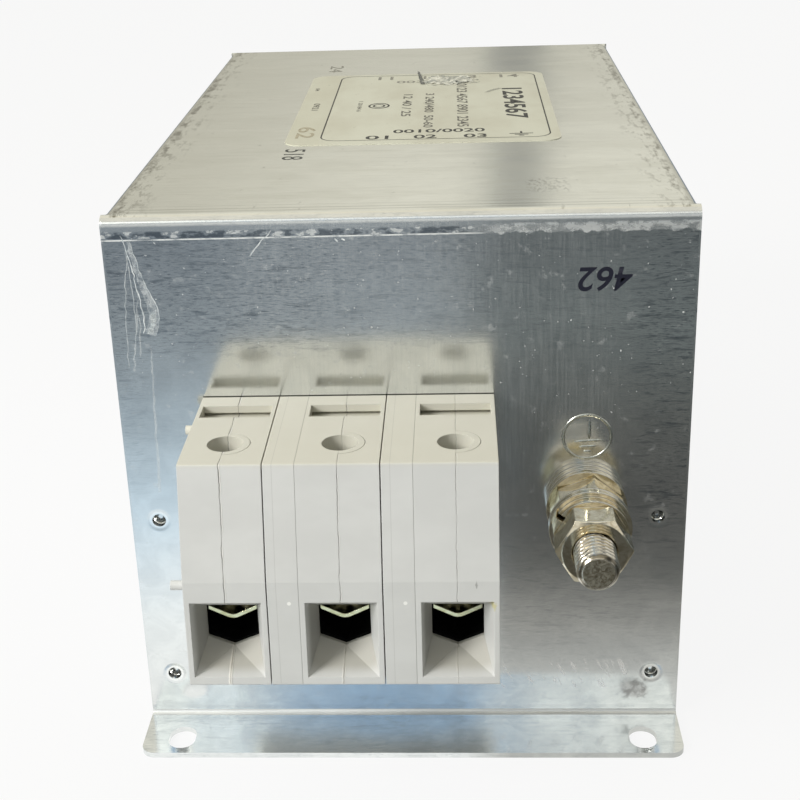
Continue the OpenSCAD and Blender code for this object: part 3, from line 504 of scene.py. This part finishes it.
def plasticPaint(look, name, shift, seams=None, marks=False):
    paint = Paint(name)
    x, y, z = paint.spot()
    mottle = paint.noise((0.05, 0.05, 0.09), 3.0, 0.6, shift)
    grain = paint.noise((1.4, 1.4, 1.4), 2.0, 0.5, shift)
    # painted light: the upper part of each terminal is painted creamier, as if lit warm from above
    upper = z.rise(80, 92) * abs(y).rise(149.1, 148.5)
    colour = paint.mix(mottle.rise(0.3, 0.7), look["grey"], look["shade"])
    colour = paint.mix(upper * 0.6, colour, look["litCream"])
    lower = z.rise(look["bendZ"] + 0.2, look["bendZ"] - 0.2)
    colour = paint.mix(lower * 0.10, colour, look["foot"])
    if not seams:
        # faint mould line and the mark of the moulding gate
        turns = (x - look["spacerX"]) / look["pitch"] + 100.0
        inSpacer = (turns - turns.floor()) * look["pitch"]
        colour = paint.mix(abs(inSpacer - look["mouldAt"]).rise(0.12, 0.03) * 0.22, colour, look["mouldLine"])
        gate = (inSpacer - look["gateAt"][0]).far(z - look["gateAt"][1]).rise(0.55, 0.35)
        colour = paint.mix(gate * 0.8, colour, look["gate"])
        colour = paint.mix(abs(inSpacer - look["spacerWide"]).rise(0.22, 0.05) * 0.35, colour, look["edge"])
    height = grain * 0.01
    if seams:
        dark, raised = seams
        wander = paint.noise((0.0, 0.05, 0.22), 3.0, 0.65, shift + 3) - 0.5
        lively = paint.noise((0.0, 0.3, 0.12), 2.0, 0.5, shift + 11)
        nearest = (x - look["seamX"]) / look["pitch"] + 100.5
        offset = (nearest - nearest.floor() - 0.5) * look["pitch"] + wander * 1.2
        seam = abs(offset).rise(0.14, 0.04) * (0.35 + 0.65 * lively.rise(0.35, 0.6)) * dark
        flash = (offset - 0.22).within(-0.08, 0.10, 0.10) * lively.rise(0.42, 0.58) * raised
        ridge = abs(offset + 0.15).rise(0.42, 0.20) * z.rise(50.5, 49.5) * abs(y).rise(136, 138)
        ridge = ridge * raised * lively.rise(0.30, 0.5)
        colour = paint.mix(seam * 0.85, colour, look["seam"])
        colour = paint.mix((flash * 0.6).clip(), colour, look["flash"])
        colour = paint.mix((ridge * 0.8).clip(), colour, look["ridge"])
        height = height - seam * 0.10 + flash * 0.06 + ridge * 0.08
        # funnel floors painted darker and warmer, partly dust and partly painted shade; the walls facing +x painted
        # darker still, a painted shade
        deep = 1.0 - (abs(y) + wallY) / (look["reach"] - (z - 46.0) * 0.07)
        funnel = z.rise(look["funnelTop"], look["funnelTop"] - 0.7) * abs(offset).rise(9.4, 8.8) * deep.rise(0.012, 0.09)
        colour = paint.mix((funnel * paint.facing(2).rise(0.2, 0.6) * 0.55).clip(), colour, look["dustAndShade"])
        colour = paint.mix((funnel * paint.facing(0).rise(0.2, 0.6) * 0.60).clip(), colour, look["grime"])
    if marks:
        # resin chip at the funnel's corner and a dark fleck above it
        torn = paint.noise((1.1, 1.1, 1.1), 3.0, 0.6, 4.0)
        chip = paint.around(look["chipAt"]) - (torn - 0.5) * 2.2
        colour = paint.mix(chip.rise(1.25, 0.75) * y.rise(-130, -140) * 0.8, colour, look["chip"])
        fleck = abs(x - look["fleckAt"][0]) * 2.4 + abs(z - look["fleckAt"][1]) * 0.9 - (torn - 0.5) * 1.4
        colour = paint.mix(fleck.rise(1.1, 0.5) * y.rise(-130, -140) * 0.5, colour, look["fleck"])
    normal = paint.bump(height, 1.0, 1.0, paint.bevel(0.25))
    return paint.surface(Base_Color=colour, Roughness=(0.40 + 0.10 * mottle).clip(), Normal=normal)


for number, seams in plastic["seams"].items():
    material = plasticPaint(plastic, "terminalPlastic" + str(number), 2.0 * number, seams, number == 3)
    for place in ("load", "line"):
        for half in ("left", "right"):
            wear(place + "_terminal_" + str(number) + "_" + half + "_shell", material)
spacerMaterial = plasticPaint(plastic, "spacerPlastic", 9.0)
for number in (1, 2):
    for place in ("load", "line"):
        wear(place + "_spacer_" + str(number), spacerMaterial)
print("terminals painted")


# plated and raw metals
def metalPaint(name, colour, worn, rough, fineness=(0.6, 0.6, 0.6), bevel=0.0, bump=0.02, amount=0.6, joints=()):
    paint = Paint(name)
    smear = paint.noise(fineness, 4.0, 0.65, 1.0, 0.4)
    cloud = paint.noise((0.13, 0.13, 0.13), 2.0, 0.5, 8.0)
    shade = paint.mix((smear.rise(0.40, 0.72) * amount).clip(), colour, worn)
    shade = paint.mix((cloud.rise(0.5, 0.8) * amount * 0.5).clip(), shade, worn)
    metallic = 1.0
    if joints:
        # painted highlights on the rims and painted contact shadows where the stacked pieces meet
        out = abs(paint.spot()[1]) + wallY
        near = abs(out - joints[0])
        for shadedJoint in joints[1:]:
            near = near.least(abs(out - shadedJoint))
        near = near + abs(paint.facing(1)).rise(0.3, 0.6) * 5.0
        rim = near.within(0.22, 0.48, 0.10)
        shade = paint.mix(rim * 0.8, shade, tint(252, 248, 236))
        shade = paint.mix(near.rise(0.20, 0.08) * 0.85, shade, tint(60, 52, 38))
        metallic = 1.0 - rim * 0.55
    normal = paint.bump(smear, bump, 1.0, paint.bevel(bevel)) if bevel else paint.bump(smear, bump)
    return paint.surface(Base_Color=shade, Metallic=metallic, Roughness=(rough + 0.14 * smear).clip(), Normal=normal)


# thicknesses of what is stacked on each stud, from the wall out
earthStack = {"wallWasher": 2.2, "baseWasher": 2.2, "baseNut": 8.1,
              "lugWasher": 2.5, "springWasher": 3.1, "outerNut": 8.1}
stackJoints = [sum(list(earthStack.values())[:count]) for count in range(len(earthStack) + 1)]
nickel = metalPaint("nickelPlatedBrass", tint(242, 234, 212), tint(178, 160, 118), 0.03,
                    (0.5, 0.5, 0.5), 0.35, 0.006, 0.5, stackJoints)
springSteel = metalPaint("springSteel", tint(232, 222, 198), tint(150, 134, 100), 0.08,
                         (0.7, 0.7, 0.7), 0.25, 0.01, 0.5, stackJoints)
zinc = metalPaint("zincPlatedSteel", tint(190, 190, 186), tint(120, 120, 114), 0.3)
blackened = metalPaint("blackenedSteel", tint(26, 27, 29), tint(12, 12, 13), 0.45, bump=0.01)
yellow = metalPaint("yellowPassivatedSteel", tint(234, 226, 186), tint(190, 174, 112), 0.10, (0.4, 0.9, 0.9), 0.25)
tinned = metalPaint("tinnedCopper", tint(60, 60, 60), tint(30, 30, 30), 0.4)
copperWire = metalPaint("enamelledCopper", tint(176, 84, 44), tint(122, 50, 26), 0.25)
leadWire = metalPaint("tinnedWire", tint(196, 196, 192), tint(140, 140, 136), 0.3)


def mouldedPaint(name, colour, worn, rough):
    paint = Paint(name)
    mottle = paint.noise((0.12, 0.12, 0.12), 4.0, 0.6, 2.0)
    grain = paint.noise((1.6, 1.6, 1.6), 2.0, 0.5, 5.0)
    normal = paint.bump(grain, 0.02, 1.0, paint.bevel(0.3))
    return paint.surface(Base_Color=paint.mix(mottle.rise(0.35, 0.7), colour, worn),
                         Roughness=(rough + 0.12 * mottle).clip(), Normal=normal)


def bothEnds(kind):
    return [place + "_" + kind + "_" + number for place in ("load", "line") for number in "123"]


finishes = {nickel: ["earth_wall_washers", "earth_base_washers", "earth_base_nuts",
                     "earth_lug_washers", "earth_outer_nuts"],
            springSteel: ["earth_spring_washers"], zinc: ["clamp_screws"], blackened: bothEnds("clamp_cage"),
            yellow: bothEnds("pressure_plate"), tinned: bothEnds("current_bar"),
            copperWire: ["choke_winding_l1", "choke_winding_l2", "choke_winding_l3"],
            leadWire: ["load_capacitor_leads", "line_capacitor_leads"],
            mouldedPaint("blackPlastic", tint(38, 38, 40), tint(26, 26, 28), 0.5): ["choke_saddle"],
            mouldedPaint("coreCase", tint(70, 92, 78), tint(52, 74, 62), 0.45): ["choke_core"],
            mouldedPaint("capacitorCase", tint(188, 182, 64), tint(168, 160, 48), 0.4):
                ["load_x_capacitors", "line_x_capacitors", "y_capacitors"],
            mouldedPaint("resistorBody", tint(196, 170, 128), tint(172, 142, 100), 0.45): ["discharge_resistors"]}
for material, names in finishes.items():
    for name in names:
        wear(name, material)
print("metals and inner pieces painted")

# earth studs with a real helical thread
stud = {"x": 44.8, "z": 64.6, "reach": 35.6, "outer": 5.0, "root": 4.32, "pitch": 1.5, "threadFrom": 1.0,
        "chamfer": 1.1, "headAcross": 16.0, "headHigh": 6.4, "inside": 1.5, "around": 72, "perTurn": 12}


def studPaint(look):
    paint = Paint("studNickel")
    smear = paint.noise((0.5, 0.5, 0.5), 4.0, 0.65, 1.0)
    radius = paint.around((look["x"], look["z"]))
    endY = look["reach"] - wallY
    tip = abs(paint.spot()[1]).rise(endY - 0.35, endY - 0.1) * radius.rise(3.85, 3.6)
    # painted shade: the thread roots are painted darker brown
    rootShade = radius.rise(4.75, 4.4) * radius.rise(3.9, 4.1)
    colour = paint.mix(smear.rise(0.45, 0.75) * 0.5, tint(232, 226, 212), tint(176, 168, 146))
    colour = paint.mix(rootShade * 0.75, colour, tint(96, 88, 70))
    swirl = paint.noise((0.8, 0.8, 0.8), 4.0, 0.7, 3.0, 1.2)
    face = paint.mix(swirl.rise(0.35, 0.65), tint(196, 188, 168), tint(134, 124, 104))
    colour = paint.mix(tip, colour, face)
    return paint.surface(Base_Color=colour, Metallic=1.0, Roughness=(0.13 + 0.12 * smear + 0.22 * tip).clip(),
                         Normal=paint.bump(swirl * tip, 0.12))


def makeStuds(look):
    points, faces = [], []
    start, reach, around = -look["inside"] - look["headHigh"], look["reach"], look["around"]
    step = look["pitch"] / look["perTurn"]
    deep = look["outer"] - look["root"]

    def spot(end, out, radius, turn):
        points.append((look["x"] + radius * math.cos(turn), end * (-wallY + out), look["z"] + radius * math.sin(turn)))

    for end in (-1, 1):
        first = len(points)
        rows = int((reach - look["threadFrom"]) / step) + 1
        reaches = [look["threadFrom"] + row * (reach - look["threadFrom"]) / (rows - 1) for row in range(rows)]
        for out in reaches:
            for k in range(around):
                turn = 2 * math.pi * k / around
                phase = (out / look["pitch"] - k / around) % 1.0
                high = min(1.0, max(0.0, 1.5 - abs(phase - 0.5) * 4.2 + 0.35))
                radius = look["root"] + deep * high
                spot(end, out, min(radius, look["outer"] - look["chamfer"] + (reach - out) + 0.02), turn)
        for row in range(rows - 1):
            for k in range(around):
                a, b = first + row * around + k, first + row * around + (k + 1) % around
                quad = (a, b, b + around, a + around)
                faces.append(quad if end > 0 else quad[::-1])
        last = first + (rows - 1) * around
        rim = list(range(last, last + around))
        faces.append(rim if end < 0 else rim[::-1])
        # shank through the wall and hexagon head inside
        shank = len(points)
        sixth = math.pi / 3
        for out, radius in ((look["threadFrom"], look["root"]), (-look["inside"], look["root"]),
                            (-look["inside"], None), (start, None)):
            for k in range(around):
                turn = 2 * math.pi * k / around
                flat = look["headAcross"] / 2 / math.cos((turn + sixth / 2) % sixth - sixth / 2)
                spot(end, out, radius or flat, turn)
        for ring in range(3):
            for k in range(around):
                a, b = shank + ring * around + k, shank + ring * around + (k + 1) % around
                quad = (a, a + around, b + around, b)
                faces.append(quad if end > 0 else quad[::-1])
        lid = list(range(shank + 3 * around, shank + 4 * around))
        faces.append(lid if end > 0 else lid[::-1])
    piece = makePiece("earth_threaded_studs", points, faces, studPaint(look), False)
    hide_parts("earth_studs")
    return piece


makeStuds(stud)
print("studs threaded")

# earth sign pressed into the end wall
sign = {"x": 44.9, "z": 82.2, "ring": 5.85, "wide": 0.42, "proud": 0.22, "sunk": 0.04, "around": 64,
        "strokes": [(0.5, 4.6, 0.5, -0.6), (-3.2, -1.3, 4.0, -0.9), (-1.9, -2.7, 2.3, -2.5), (-0.8, -4.0, 1.0, -3.9)]}


def makeSign(look):
    points, faces = [], []

    def bead(path, closed):
        first, count = len(points), len(path)
        for i, (px, pz) in enumerate(path):
            ax, az = path[(i - 1) % count] if closed or i else path[i]
            bx, bz = path[(i + 1) % count] if closed or i < count - 1 else path[i]
            dx, dz = bx - ax, bz - az
            size = math.hypot(dx, dz)
            nx, nz = -dz / size, dx / size
            taper = 1.0 if closed or 0 < i < count - 1 else 0.35
            for k in range(5):
                turn = math.pi * k / 4
                across, out = math.cos(turn) * look["wide"] * taper, math.sin(turn) * look["proud"] * taper
                points.append((look["x"] + px + nx * across, wallY + look["sunk"] - out, look["z"] + pz + nz * across))
        for i in range(count if closed else count - 1):
            for k in range(4):
                a, b = first + i * 5 + k, first + (i + 1) % count * 5 + k
                faces.append((a, a + 1, b + 1, b))

    turns = [2 * math.pi * k / look["around"] for k in range(look["around"])]
    bead([(look["ring"] * math.cos(turn), look["ring"] * math.sin(turn)) for turn in turns], True)
    for x1, z1, x2, z2 in look["strokes"]:
        bead([(x1 + (x2 - x1) * t / 6, z1 + (z2 - z1) * t / 6) for t in range(7)], False)
    signSheet = metalPaint("signSheet", tint(206, 208, 200), tint(140, 142, 134), 0.2, bump=0.01)
    makePiece("earth_sign", points, faces, signSheet)


makeSign(sign)

# ink: plain stamped numbers and the label's print
def inkPaint(name, colour, fade):
    paint = Paint(name)
    patchy = paint.noise((0.9, 0.9, 0.9), 4.0, 0.65, 2.0)
    alpha = (1 - fade * patchy.rise(0.42, 0.68)).clip()
    return paint.surface(Base_Color=colour, Roughness=0.55, Alpha=alpha)


def stamp(name, words, fit, middle, turn, material, slant=0.0, bold=0.0):
    letters = bpy.data.curves.new(name, "FONT")
    letters.body, letters.size = words, 10 * mm
    letters.shear, letters.offset = slant, bold * mm
    source = bpy.data.objects.new(name + "_letters", letters)
    mesh = bpy.data.meshes.new_from_object(source)
    bpy.data.objects.remove(source)
    low = Vector((min(v.co.x for v in mesh.vertices), min(v.co.y for v in mesh.vertices), 0))
    high = Vector((max(v.co.x for v in mesh.vertices), max(v.co.y for v in mesh.vertices), 0))
    mesh.transform(Matrix.Translation((low + high) / -2))
    mesh.transform(Matrix.Diagonal((fit[0] * mm / (high.x - low.x), fit[1] * mm / (high.y - low.y), 1, 1)))
    mesh.transform(Matrix.Translation(Vector(middle) * mm) @ turn)
    mesh.name = name
    mesh.materials.clear()
    mesh.materials.append(material)
    piece = bpy.data.objects.new(name, mesh)
    scene.collection.objects.link(piece)
    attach(piece, "root")
    "label_film" if "label" in name else "galvanised_sheet"
    return piece


flip = Matrix.Rotation(math.pi, 4, "Y") @ Matrix.Rotation(math.pi / 2, 4, "X")      # upside down on the end wall
lengthways = Matrix.Rotation(-math.pi / 2, 4, "Z")                                   # along the case, on its top
upright = Matrix.Identity(4)
navy = inkPaint("navyInk", tint(14, 16, 36), 0.1)
stampInk = inkPaint("stampInk", tint(62, 64, 62), 0.4)
blackInk = inkPaint("labelBlack", tint(44, 44, 42), 0.25)
greyInk = inkPaint("labelGrey", tint(104, 102, 94), 0.35)
paleInk = inkPaint("wornInk", tint(138, 136, 126), 0.75)
beigeInk = inkPaint("beigeInk", tint(172, 164, 140), 0.6)
stamp("stamp_front", "462", (12.7, 6.0), (48.3, wallY - 0.04, 122.9), flip, navy, 0.2, 0.12)
stamp("stamp_top_near", "518", (11.6, 5.6), (-30.0, wallY + 58.0, topZ + 0.03), lengthways, stampInk)
stamp("stamp_top_far", "24", (11.5, 4.6), (-27.5, wallY + 181.5, topZ + 0.03), lengthways, paleInk)

# rating label: film, print and the torn spot
label = {"film": tint(203, 203, 186), "worn": tint(192, 190, 172), "strip": tint(192, 190, 170),
         "grime": tint(150, 146, 126), "stripX": -24.2, "proud": 0.03,
         "frame": (-24.4, 72.0, 40.4, 166.0), "corner": 5.0, "line": 0.38,
         # round mark: middle, outer and inner radius, width of a line, and how much it is narrowed
         "ringAt": (-9.7, 117.6), "rings": (3.9, 2.3), "ringLine": 0.7, "ringNarrow": 0.85,
         # earth sign: bars as low x, low y, high x, high y
         "earthSign": [(28.8, 76.4, 35.4, 77.0), (30.2, 75.1, 34.0, 75.7),
                       (31.4, 73.9, 32.8, 74.5), (31.8, 77.0, 32.4, 79.2)],
         # words, length, height, and the middle as x and the way from the load end
         "alongRows": {"bold": ("1234567", 44.5, 6.6, 31.9, 118.5),
                       "type": ("0123 4567 8901 2345", 63.0, 3.4, 15.9, 118.2),
                       "rating": ("3 240/480  50-60", 48.5, 2.8, 5.8, 110.8),
                       "load": ("12 40 / 25", 32.0, 2.9, -1.1, 118.0), "small": ("1 20184 6", 15.0, 1.3, -15.6, 117.5),
                       "strip": ("0921", 10.0, 2.0, -29.2, 118.0), "stripFar": ("04", 4.0, 1.3, -31.0, 145.0)},
         "crossRows": {"near": ("0010/0020", 26.0, 4.2, 9.0, 82.2), "near_1": ("01", 6.4, 4.3, -8.3, 75.2),
                       "near_2": ("02", 6.4, 4.3, 5.2, 75.2), "near_3": ("03", 6.4, 4.3, 19.2, 75.2),
                       "far_1": ("11", 5.0, 5.0, -9.4, 161.5), "far_2": ("12", 5.4, 5.0, 6.0, 161.5),
                       "far_3": ("13", 5.4, 5.0, 18.2, 161.5), "far_4": ("14", 6.4, 5.0, 31.8, 161.5),
                       "far": ("003", 9.0, 3.6, -1.0, 154.6)}}


def labelPaint(look):
    paint = Paint("labelFilm")
    x = paint.spot()[0]
    cloud = paint.noise((0.05, 0.03, 0.1), 3.0, 0.6, 2.0)
    grime = paint.noise((0.6, 0.25, 0.6), 4.0, 0.7, 6.0)
    colour = paint.mix(cloud.rise(0.35, 0.7), look["film"], look["worn"])
    colour = paint.mix(x.rise(look["stripX"] + 0.4, look["stripX"] - 0.4) * 0.45, colour, look["strip"])
    colour = paint.mix(grime.rise(0.62, 0.72) * 0.35, colour, look["grime"])
    return paint.surface(Base_Color=colour, Roughness=(0.38 + 0.1 * cloud).clip(), Normal=paint.bump(cloud, 0.15))


wear("rating_label", labelPaint(label))
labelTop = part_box("rating_label")[1].z / mm


def printLabel(look):
    points, faces = [], []
    level = labelTop + look["proud"]
    x1, y1, x2, y2 = look["frame"]

    def outline(inset):
        ring = []
        radius = look["corner"] - inset
        for cx, cy, start in ((x2, y2, 0), (x1, y2, 90), (x1, y1, 180), (x2, y1, 270)):
            sx = cx - look["corner"] if cx == x2 else cx + look["corner"]
            sy = cy - look["corner"] if cy == y2 else cy + look["corner"]
            for k in range(9):
                turn = math.radians(start + 90 * k / 8)
                ring.append((sx + radius * math.cos(turn), wallY + sy + radius * math.sin(turn), level))
        return ring

    outer, inner = outline(0.0), outline(look["line"])
    points += outer + inner
    count = len(outer)
    for k in range(count):
        n = (k + 1) % count
        faces.append((k, n, count + n, count + k))

    for left, near, right, away in look["earthSign"]:
        a = len(points)
        points += [(left, wallY + near, level), (right, wallY + near, level),
                   (right, wallY + away, level), (left, wallY + away, level)]
        faces.append((a, a + 1, a + 2, a + 3))
    around = 28
    for radius in look["rings"]:
        first = len(points)
        for k in range(around):
            turn = 2 * math.pi * k / around
            for r in (radius, radius - look["ringLine"]):
                points.append((look["ringAt"][0] + r * look["ringNarrow"] * math.cos(turn),
                               wallY + look["ringAt"][1] + r * math.sin(turn), level))
        for k in range(around):
            a, b = first + 2 * k, first + 2 * ((k + 1) % around)
            faces.append((a, a + 1, b + 1, b))
    return makePiece("label_print", points, faces, blackInk, False)


printLabel(label)
printZ = labelTop + label["proud"]
for rows, turn in (("alongRows", lengthways), ("crossRows", upright)):
    for name, (words, length, high, x, y) in label[rows].items():
        ink = blackInk if name == "bold" or name.startswith("near") else paleInk if "far" in name else greyInk
        stamp("label_row_" + name, words, (length, high), (x, wallY + y, printZ), turn, ink,
              0.0, 0.22 if name == "bold" else 0.14)
stamp("label_row_beige", "62", (14.0, 5.2), (-29.0, wallY + 83.0, printZ), lengthways, beigeInk, 0.0, 0.12)
print("label printed")

# torn and crumpled film at the label's far end
tear = {"low": (1.6, 146.6), "high": (22.4, 165.4), "columns": 46, "rows": 40, "lift": 0.75, "proud": 0.05,
        "middle": (11.5, 156.0), "half": (9.747, 8.660),
        "film": tint(214, 213, 200), "fold": tint(150, 152, 144), "bare": tint(108, 110, 106)}


def tearPaint(look):
    paint = Paint("tornFilm")
    x, y = paint.spot()[:2]
    torn = paint.noise((0.34, 0.26, 0.2), 4.0, 0.65, 8.0, 0.5)
    crease = paint.noise((0.30, 0.18, 0.2), 3.0, 0.55, 2.0, 0.8)
    spotX = (x - look["middle"][0]) / look["half"][0]
    spotY = (y - (wallY + look["middle"][1])) / look["half"][1]
    alpha = (spotX.far(spotY) + (torn - 0.5) * 1.7).rise(0.95, 0.80)
    # painted shade: the film is painted darker along the crumple's creases
    colour = paint.mix(crease.rise(0.40, 0.58), look["fold"], look["film"])
    colour = paint.mix(torn.rise(0.58, 0.66) * 0.6, colour, look["bare"])
    return paint.surface(Base_Color=colour, Roughness=0.45, Alpha=alpha.clip(), Normal=paint.bump(crease, 0.6))


def crumpleLabel(look, material):
    points, faces = [], []
    columns, rows = look["columns"], look["rows"]
    for row in range(rows + 1):
        for column in range(columns + 1):
            u, v = column / columns, row / rows
            x = look["low"][0] + (look["high"][0] - look["low"][0]) * u
            y = look["low"][1] + (look["high"][1] - look["low"][1]) * v
            ridge = 1.0 - abs(noise.fractal(Vector((x * 0.17, y * 0.12, 4.2)), 1.0, 2.0, 3)) * 2.2
            hump = math.sin(math.pi * u) * math.sin(math.pi * v)
            points.append((x, wallY + y, labelTop + look["proud"] + max(0.0, ridge) ** 2 * hump * look["lift"]))
    for row in range(rows):
        for column in range(columns):
            a = row * (columns + 1) + column
            faces.append((a, a + 1, a + columns + 2, a + columns + 1))
    return makePiece("label_tear", points, faces, material)


crumpleLabel(tear, tearPaint(tear))
print("label torn")

# scratches on the load end and on the top: path, width at both ends and strength
scratches = {
    "left_line": ([(-65.3, 135.6), (-63.7, 129.3), (-62.6, 122.0), (-61.6, 115.3), (-61.9, 111.0)], (0.3, 0.4), 0.75),
    "outer_line": ([(-63.3, 134.7), (-64.7, 127.3), (-65.6, 120.7), (-65.9, 115.3), (-66.3, 108.7), (-66.6, 102.0)],
                   (0.28, 0.25), 0.38),
    "haze": ([(-63.6, 135.0), (-62.4, 128.0), (-60.9, 122.5), (-59.4, 117.0), (-59.4, 113.2), (-60.6, 110.9)],
             (0.8, 3.0), 0.62),
    "right_edge": ([(-63.2, 134.6), (-61.6, 127.0), (-59.6, 121.0), (-58.1, 117.2), (-58.2, 113.6)], (0.3, 0.3), 0.7),
    "blob": ([(-59.3, 116.6), (-59.5, 113.8), (-60.7, 110.7)], (1.9, 1.7), 0.85),
    "second_line": ([(-64.6, 132.0), (-63.9, 124.0), (-63.6, 117.0), (-64.0, 110.0)], (0.25, 0.3), 0.42),
    "fan_a": ([(-62.4, 122.0), (-63.4, 114.0), (-64.6, 107.0), (-65.2, 101.0)], (0.3, 0.6), 0.25),
    "fan_b": ([(-62.9, 118.0), (-62.8, 112.0), (-63.4, 105.0)], (0.3, 0.5), 0.25),
    "trail": ([(-60.8, 108.0), (-60.9, 98.0), (-61.6, 84.0), (-61.9, 68.0)], (0.5, 1.0), 0.20),
    "diagonal": ([(-29.6, 136.2), (-32.0, 133.6), (-35.0, 130.0)], (0.25, 0.45), 0.6),
    "fleck_a": ([(-14.9, 133.9), (-14.1, 133.2)], (0.45, 0.4), 0.9),
    "fleck_b": ([(-13.2, 134.0), (-12.4, 133.5)], (0.5, 0.4), 0.9),
}
slits = {
    "slit": ([(1.2, 172.5), (1.8, 166.0), (2.6, 158.0), (3.3, 149.5)], (0.9, 2.1), 1.0),
    "smudge": ([(23.4, 133.8), (25.5, 137.5), (28.4, 140.5)], (1.4, 2.4), 0.35),
}


def scratchPaint(name, one, two, hollow):
    paint = Paint(name)
    across = paint.add("ShaderNodeUVMap", {"uv_map": "across"})
    u = paint.add("ShaderNodeSeparateXYZ", None, {0: across}, out=0)
    v = paint.add("ShaderNodeSeparateXYZ", None, {0: across}, out=1)
    torn = paint.noise((0.8, 0.8, 0.5), 4.0, 0.7, 5.0)
    middle = 1 - abs(u * 2 - 1)
    if hollow:
        rim = middle.rise(0.22, 0.06) * middle.rise(0.0, 0.04)
        alpha = (torn.rise(0.30, 0.62) * 0.55 * middle.rise(0.0, 0.3) + rim * 0.5) * v
    else:
        alpha = (middle * 1.6 + (torn - 0.5) * 1.9).rise(0.15, 0.85) * v
    return paint.surface(Base_Color=paint.mix(torn.rise(0.3, 0.7), one, two), Roughness=0.55, Alpha=alpha.clip())


# points on the smooth curve through a path
def curved(path, perSpan=8):
    path = [Vector(p) for p in path]
    dense = []
    for i in range(len(path) - 1):
        here, there = path[i], path[i + 1]
        before, after = path[max(i - 1, 0)], path[min(i + 2, len(path) - 1)]
        for k in range(perSpan):
            t = k / perSpan
            dense.append(0.5 * (2 * here + (there - before) * t + (2 * before - 5 * here + 4 * there - after) * t * t
                                + (3 * here - before - 3 * there + after) * t ** 3))
    return dense + [path[-1]]


# thin strips that follow a curve on the end wall or on the top
def makeScratches(marks, prefix, spotOn, usual, special):
    for name, (path, wide, strength) in marks.items():
        dense = curved(path)
        points, faces, shares = [], [], []
        count = len(dense)
        for i, spot in enumerate(dense):
            along = dense[min(i + 1, count - 1)] - dense[max(i - 1, 0)]
            out = Vector((-along.y, along.x)).normalized()
            half = (wide[0] + (wide[1] - wide[0]) * i / (count - 1)) / 2
            jitter = noise.noise(Vector((spot.x * 0.5, spot.y * 0.7, 1.5))) * 0.35
            for side in (-1, 1):
                p = spot + out * (half * side + jitter)
                points.append(spotOn(p.x, p.y))
            fade = min(1.0, i / 4, (count - 1 - i) / 3 + 0.3)
            shares.append(strength * (0.35 + 0.65 * fade))
        for i in range(count - 1):
            faces.append((2 * i, 2 * i + 1, 2 * i + 3, 2 * i + 2))
        piece = makePiece(prefix + name, points, faces, special.get(name, usual), False)
        layer = piece.data.uv_layers.new(name="across")
        for loop in piece.data.loops:
            layer.data[loop.index].uv = (loop.vertex_index % 2, shares[loop.vertex_index // 2])


chalky = scratchPaint("scratchChalk", tint(206, 214, 218), tint(240, 244, 244), False)
hazy = scratchPaint("scratchHaze", tint(206, 214, 218), tint(236, 240, 242), True)
# dark strips on the label: the slit and a smudge
grime = scratchPaint("darkLabelStrips", tint(58, 60, 58), tint(120, 122, 116), False)
makeScratches(scratches, "scratch_", lambda a, b: (a, wallY - 0.03, b), chalky, {"haze": hazy})
makeScratches(slits, "label_", lambda a, b: (a, wallY + b, labelTop + 0.15), grime, {})
print("scratches laid")
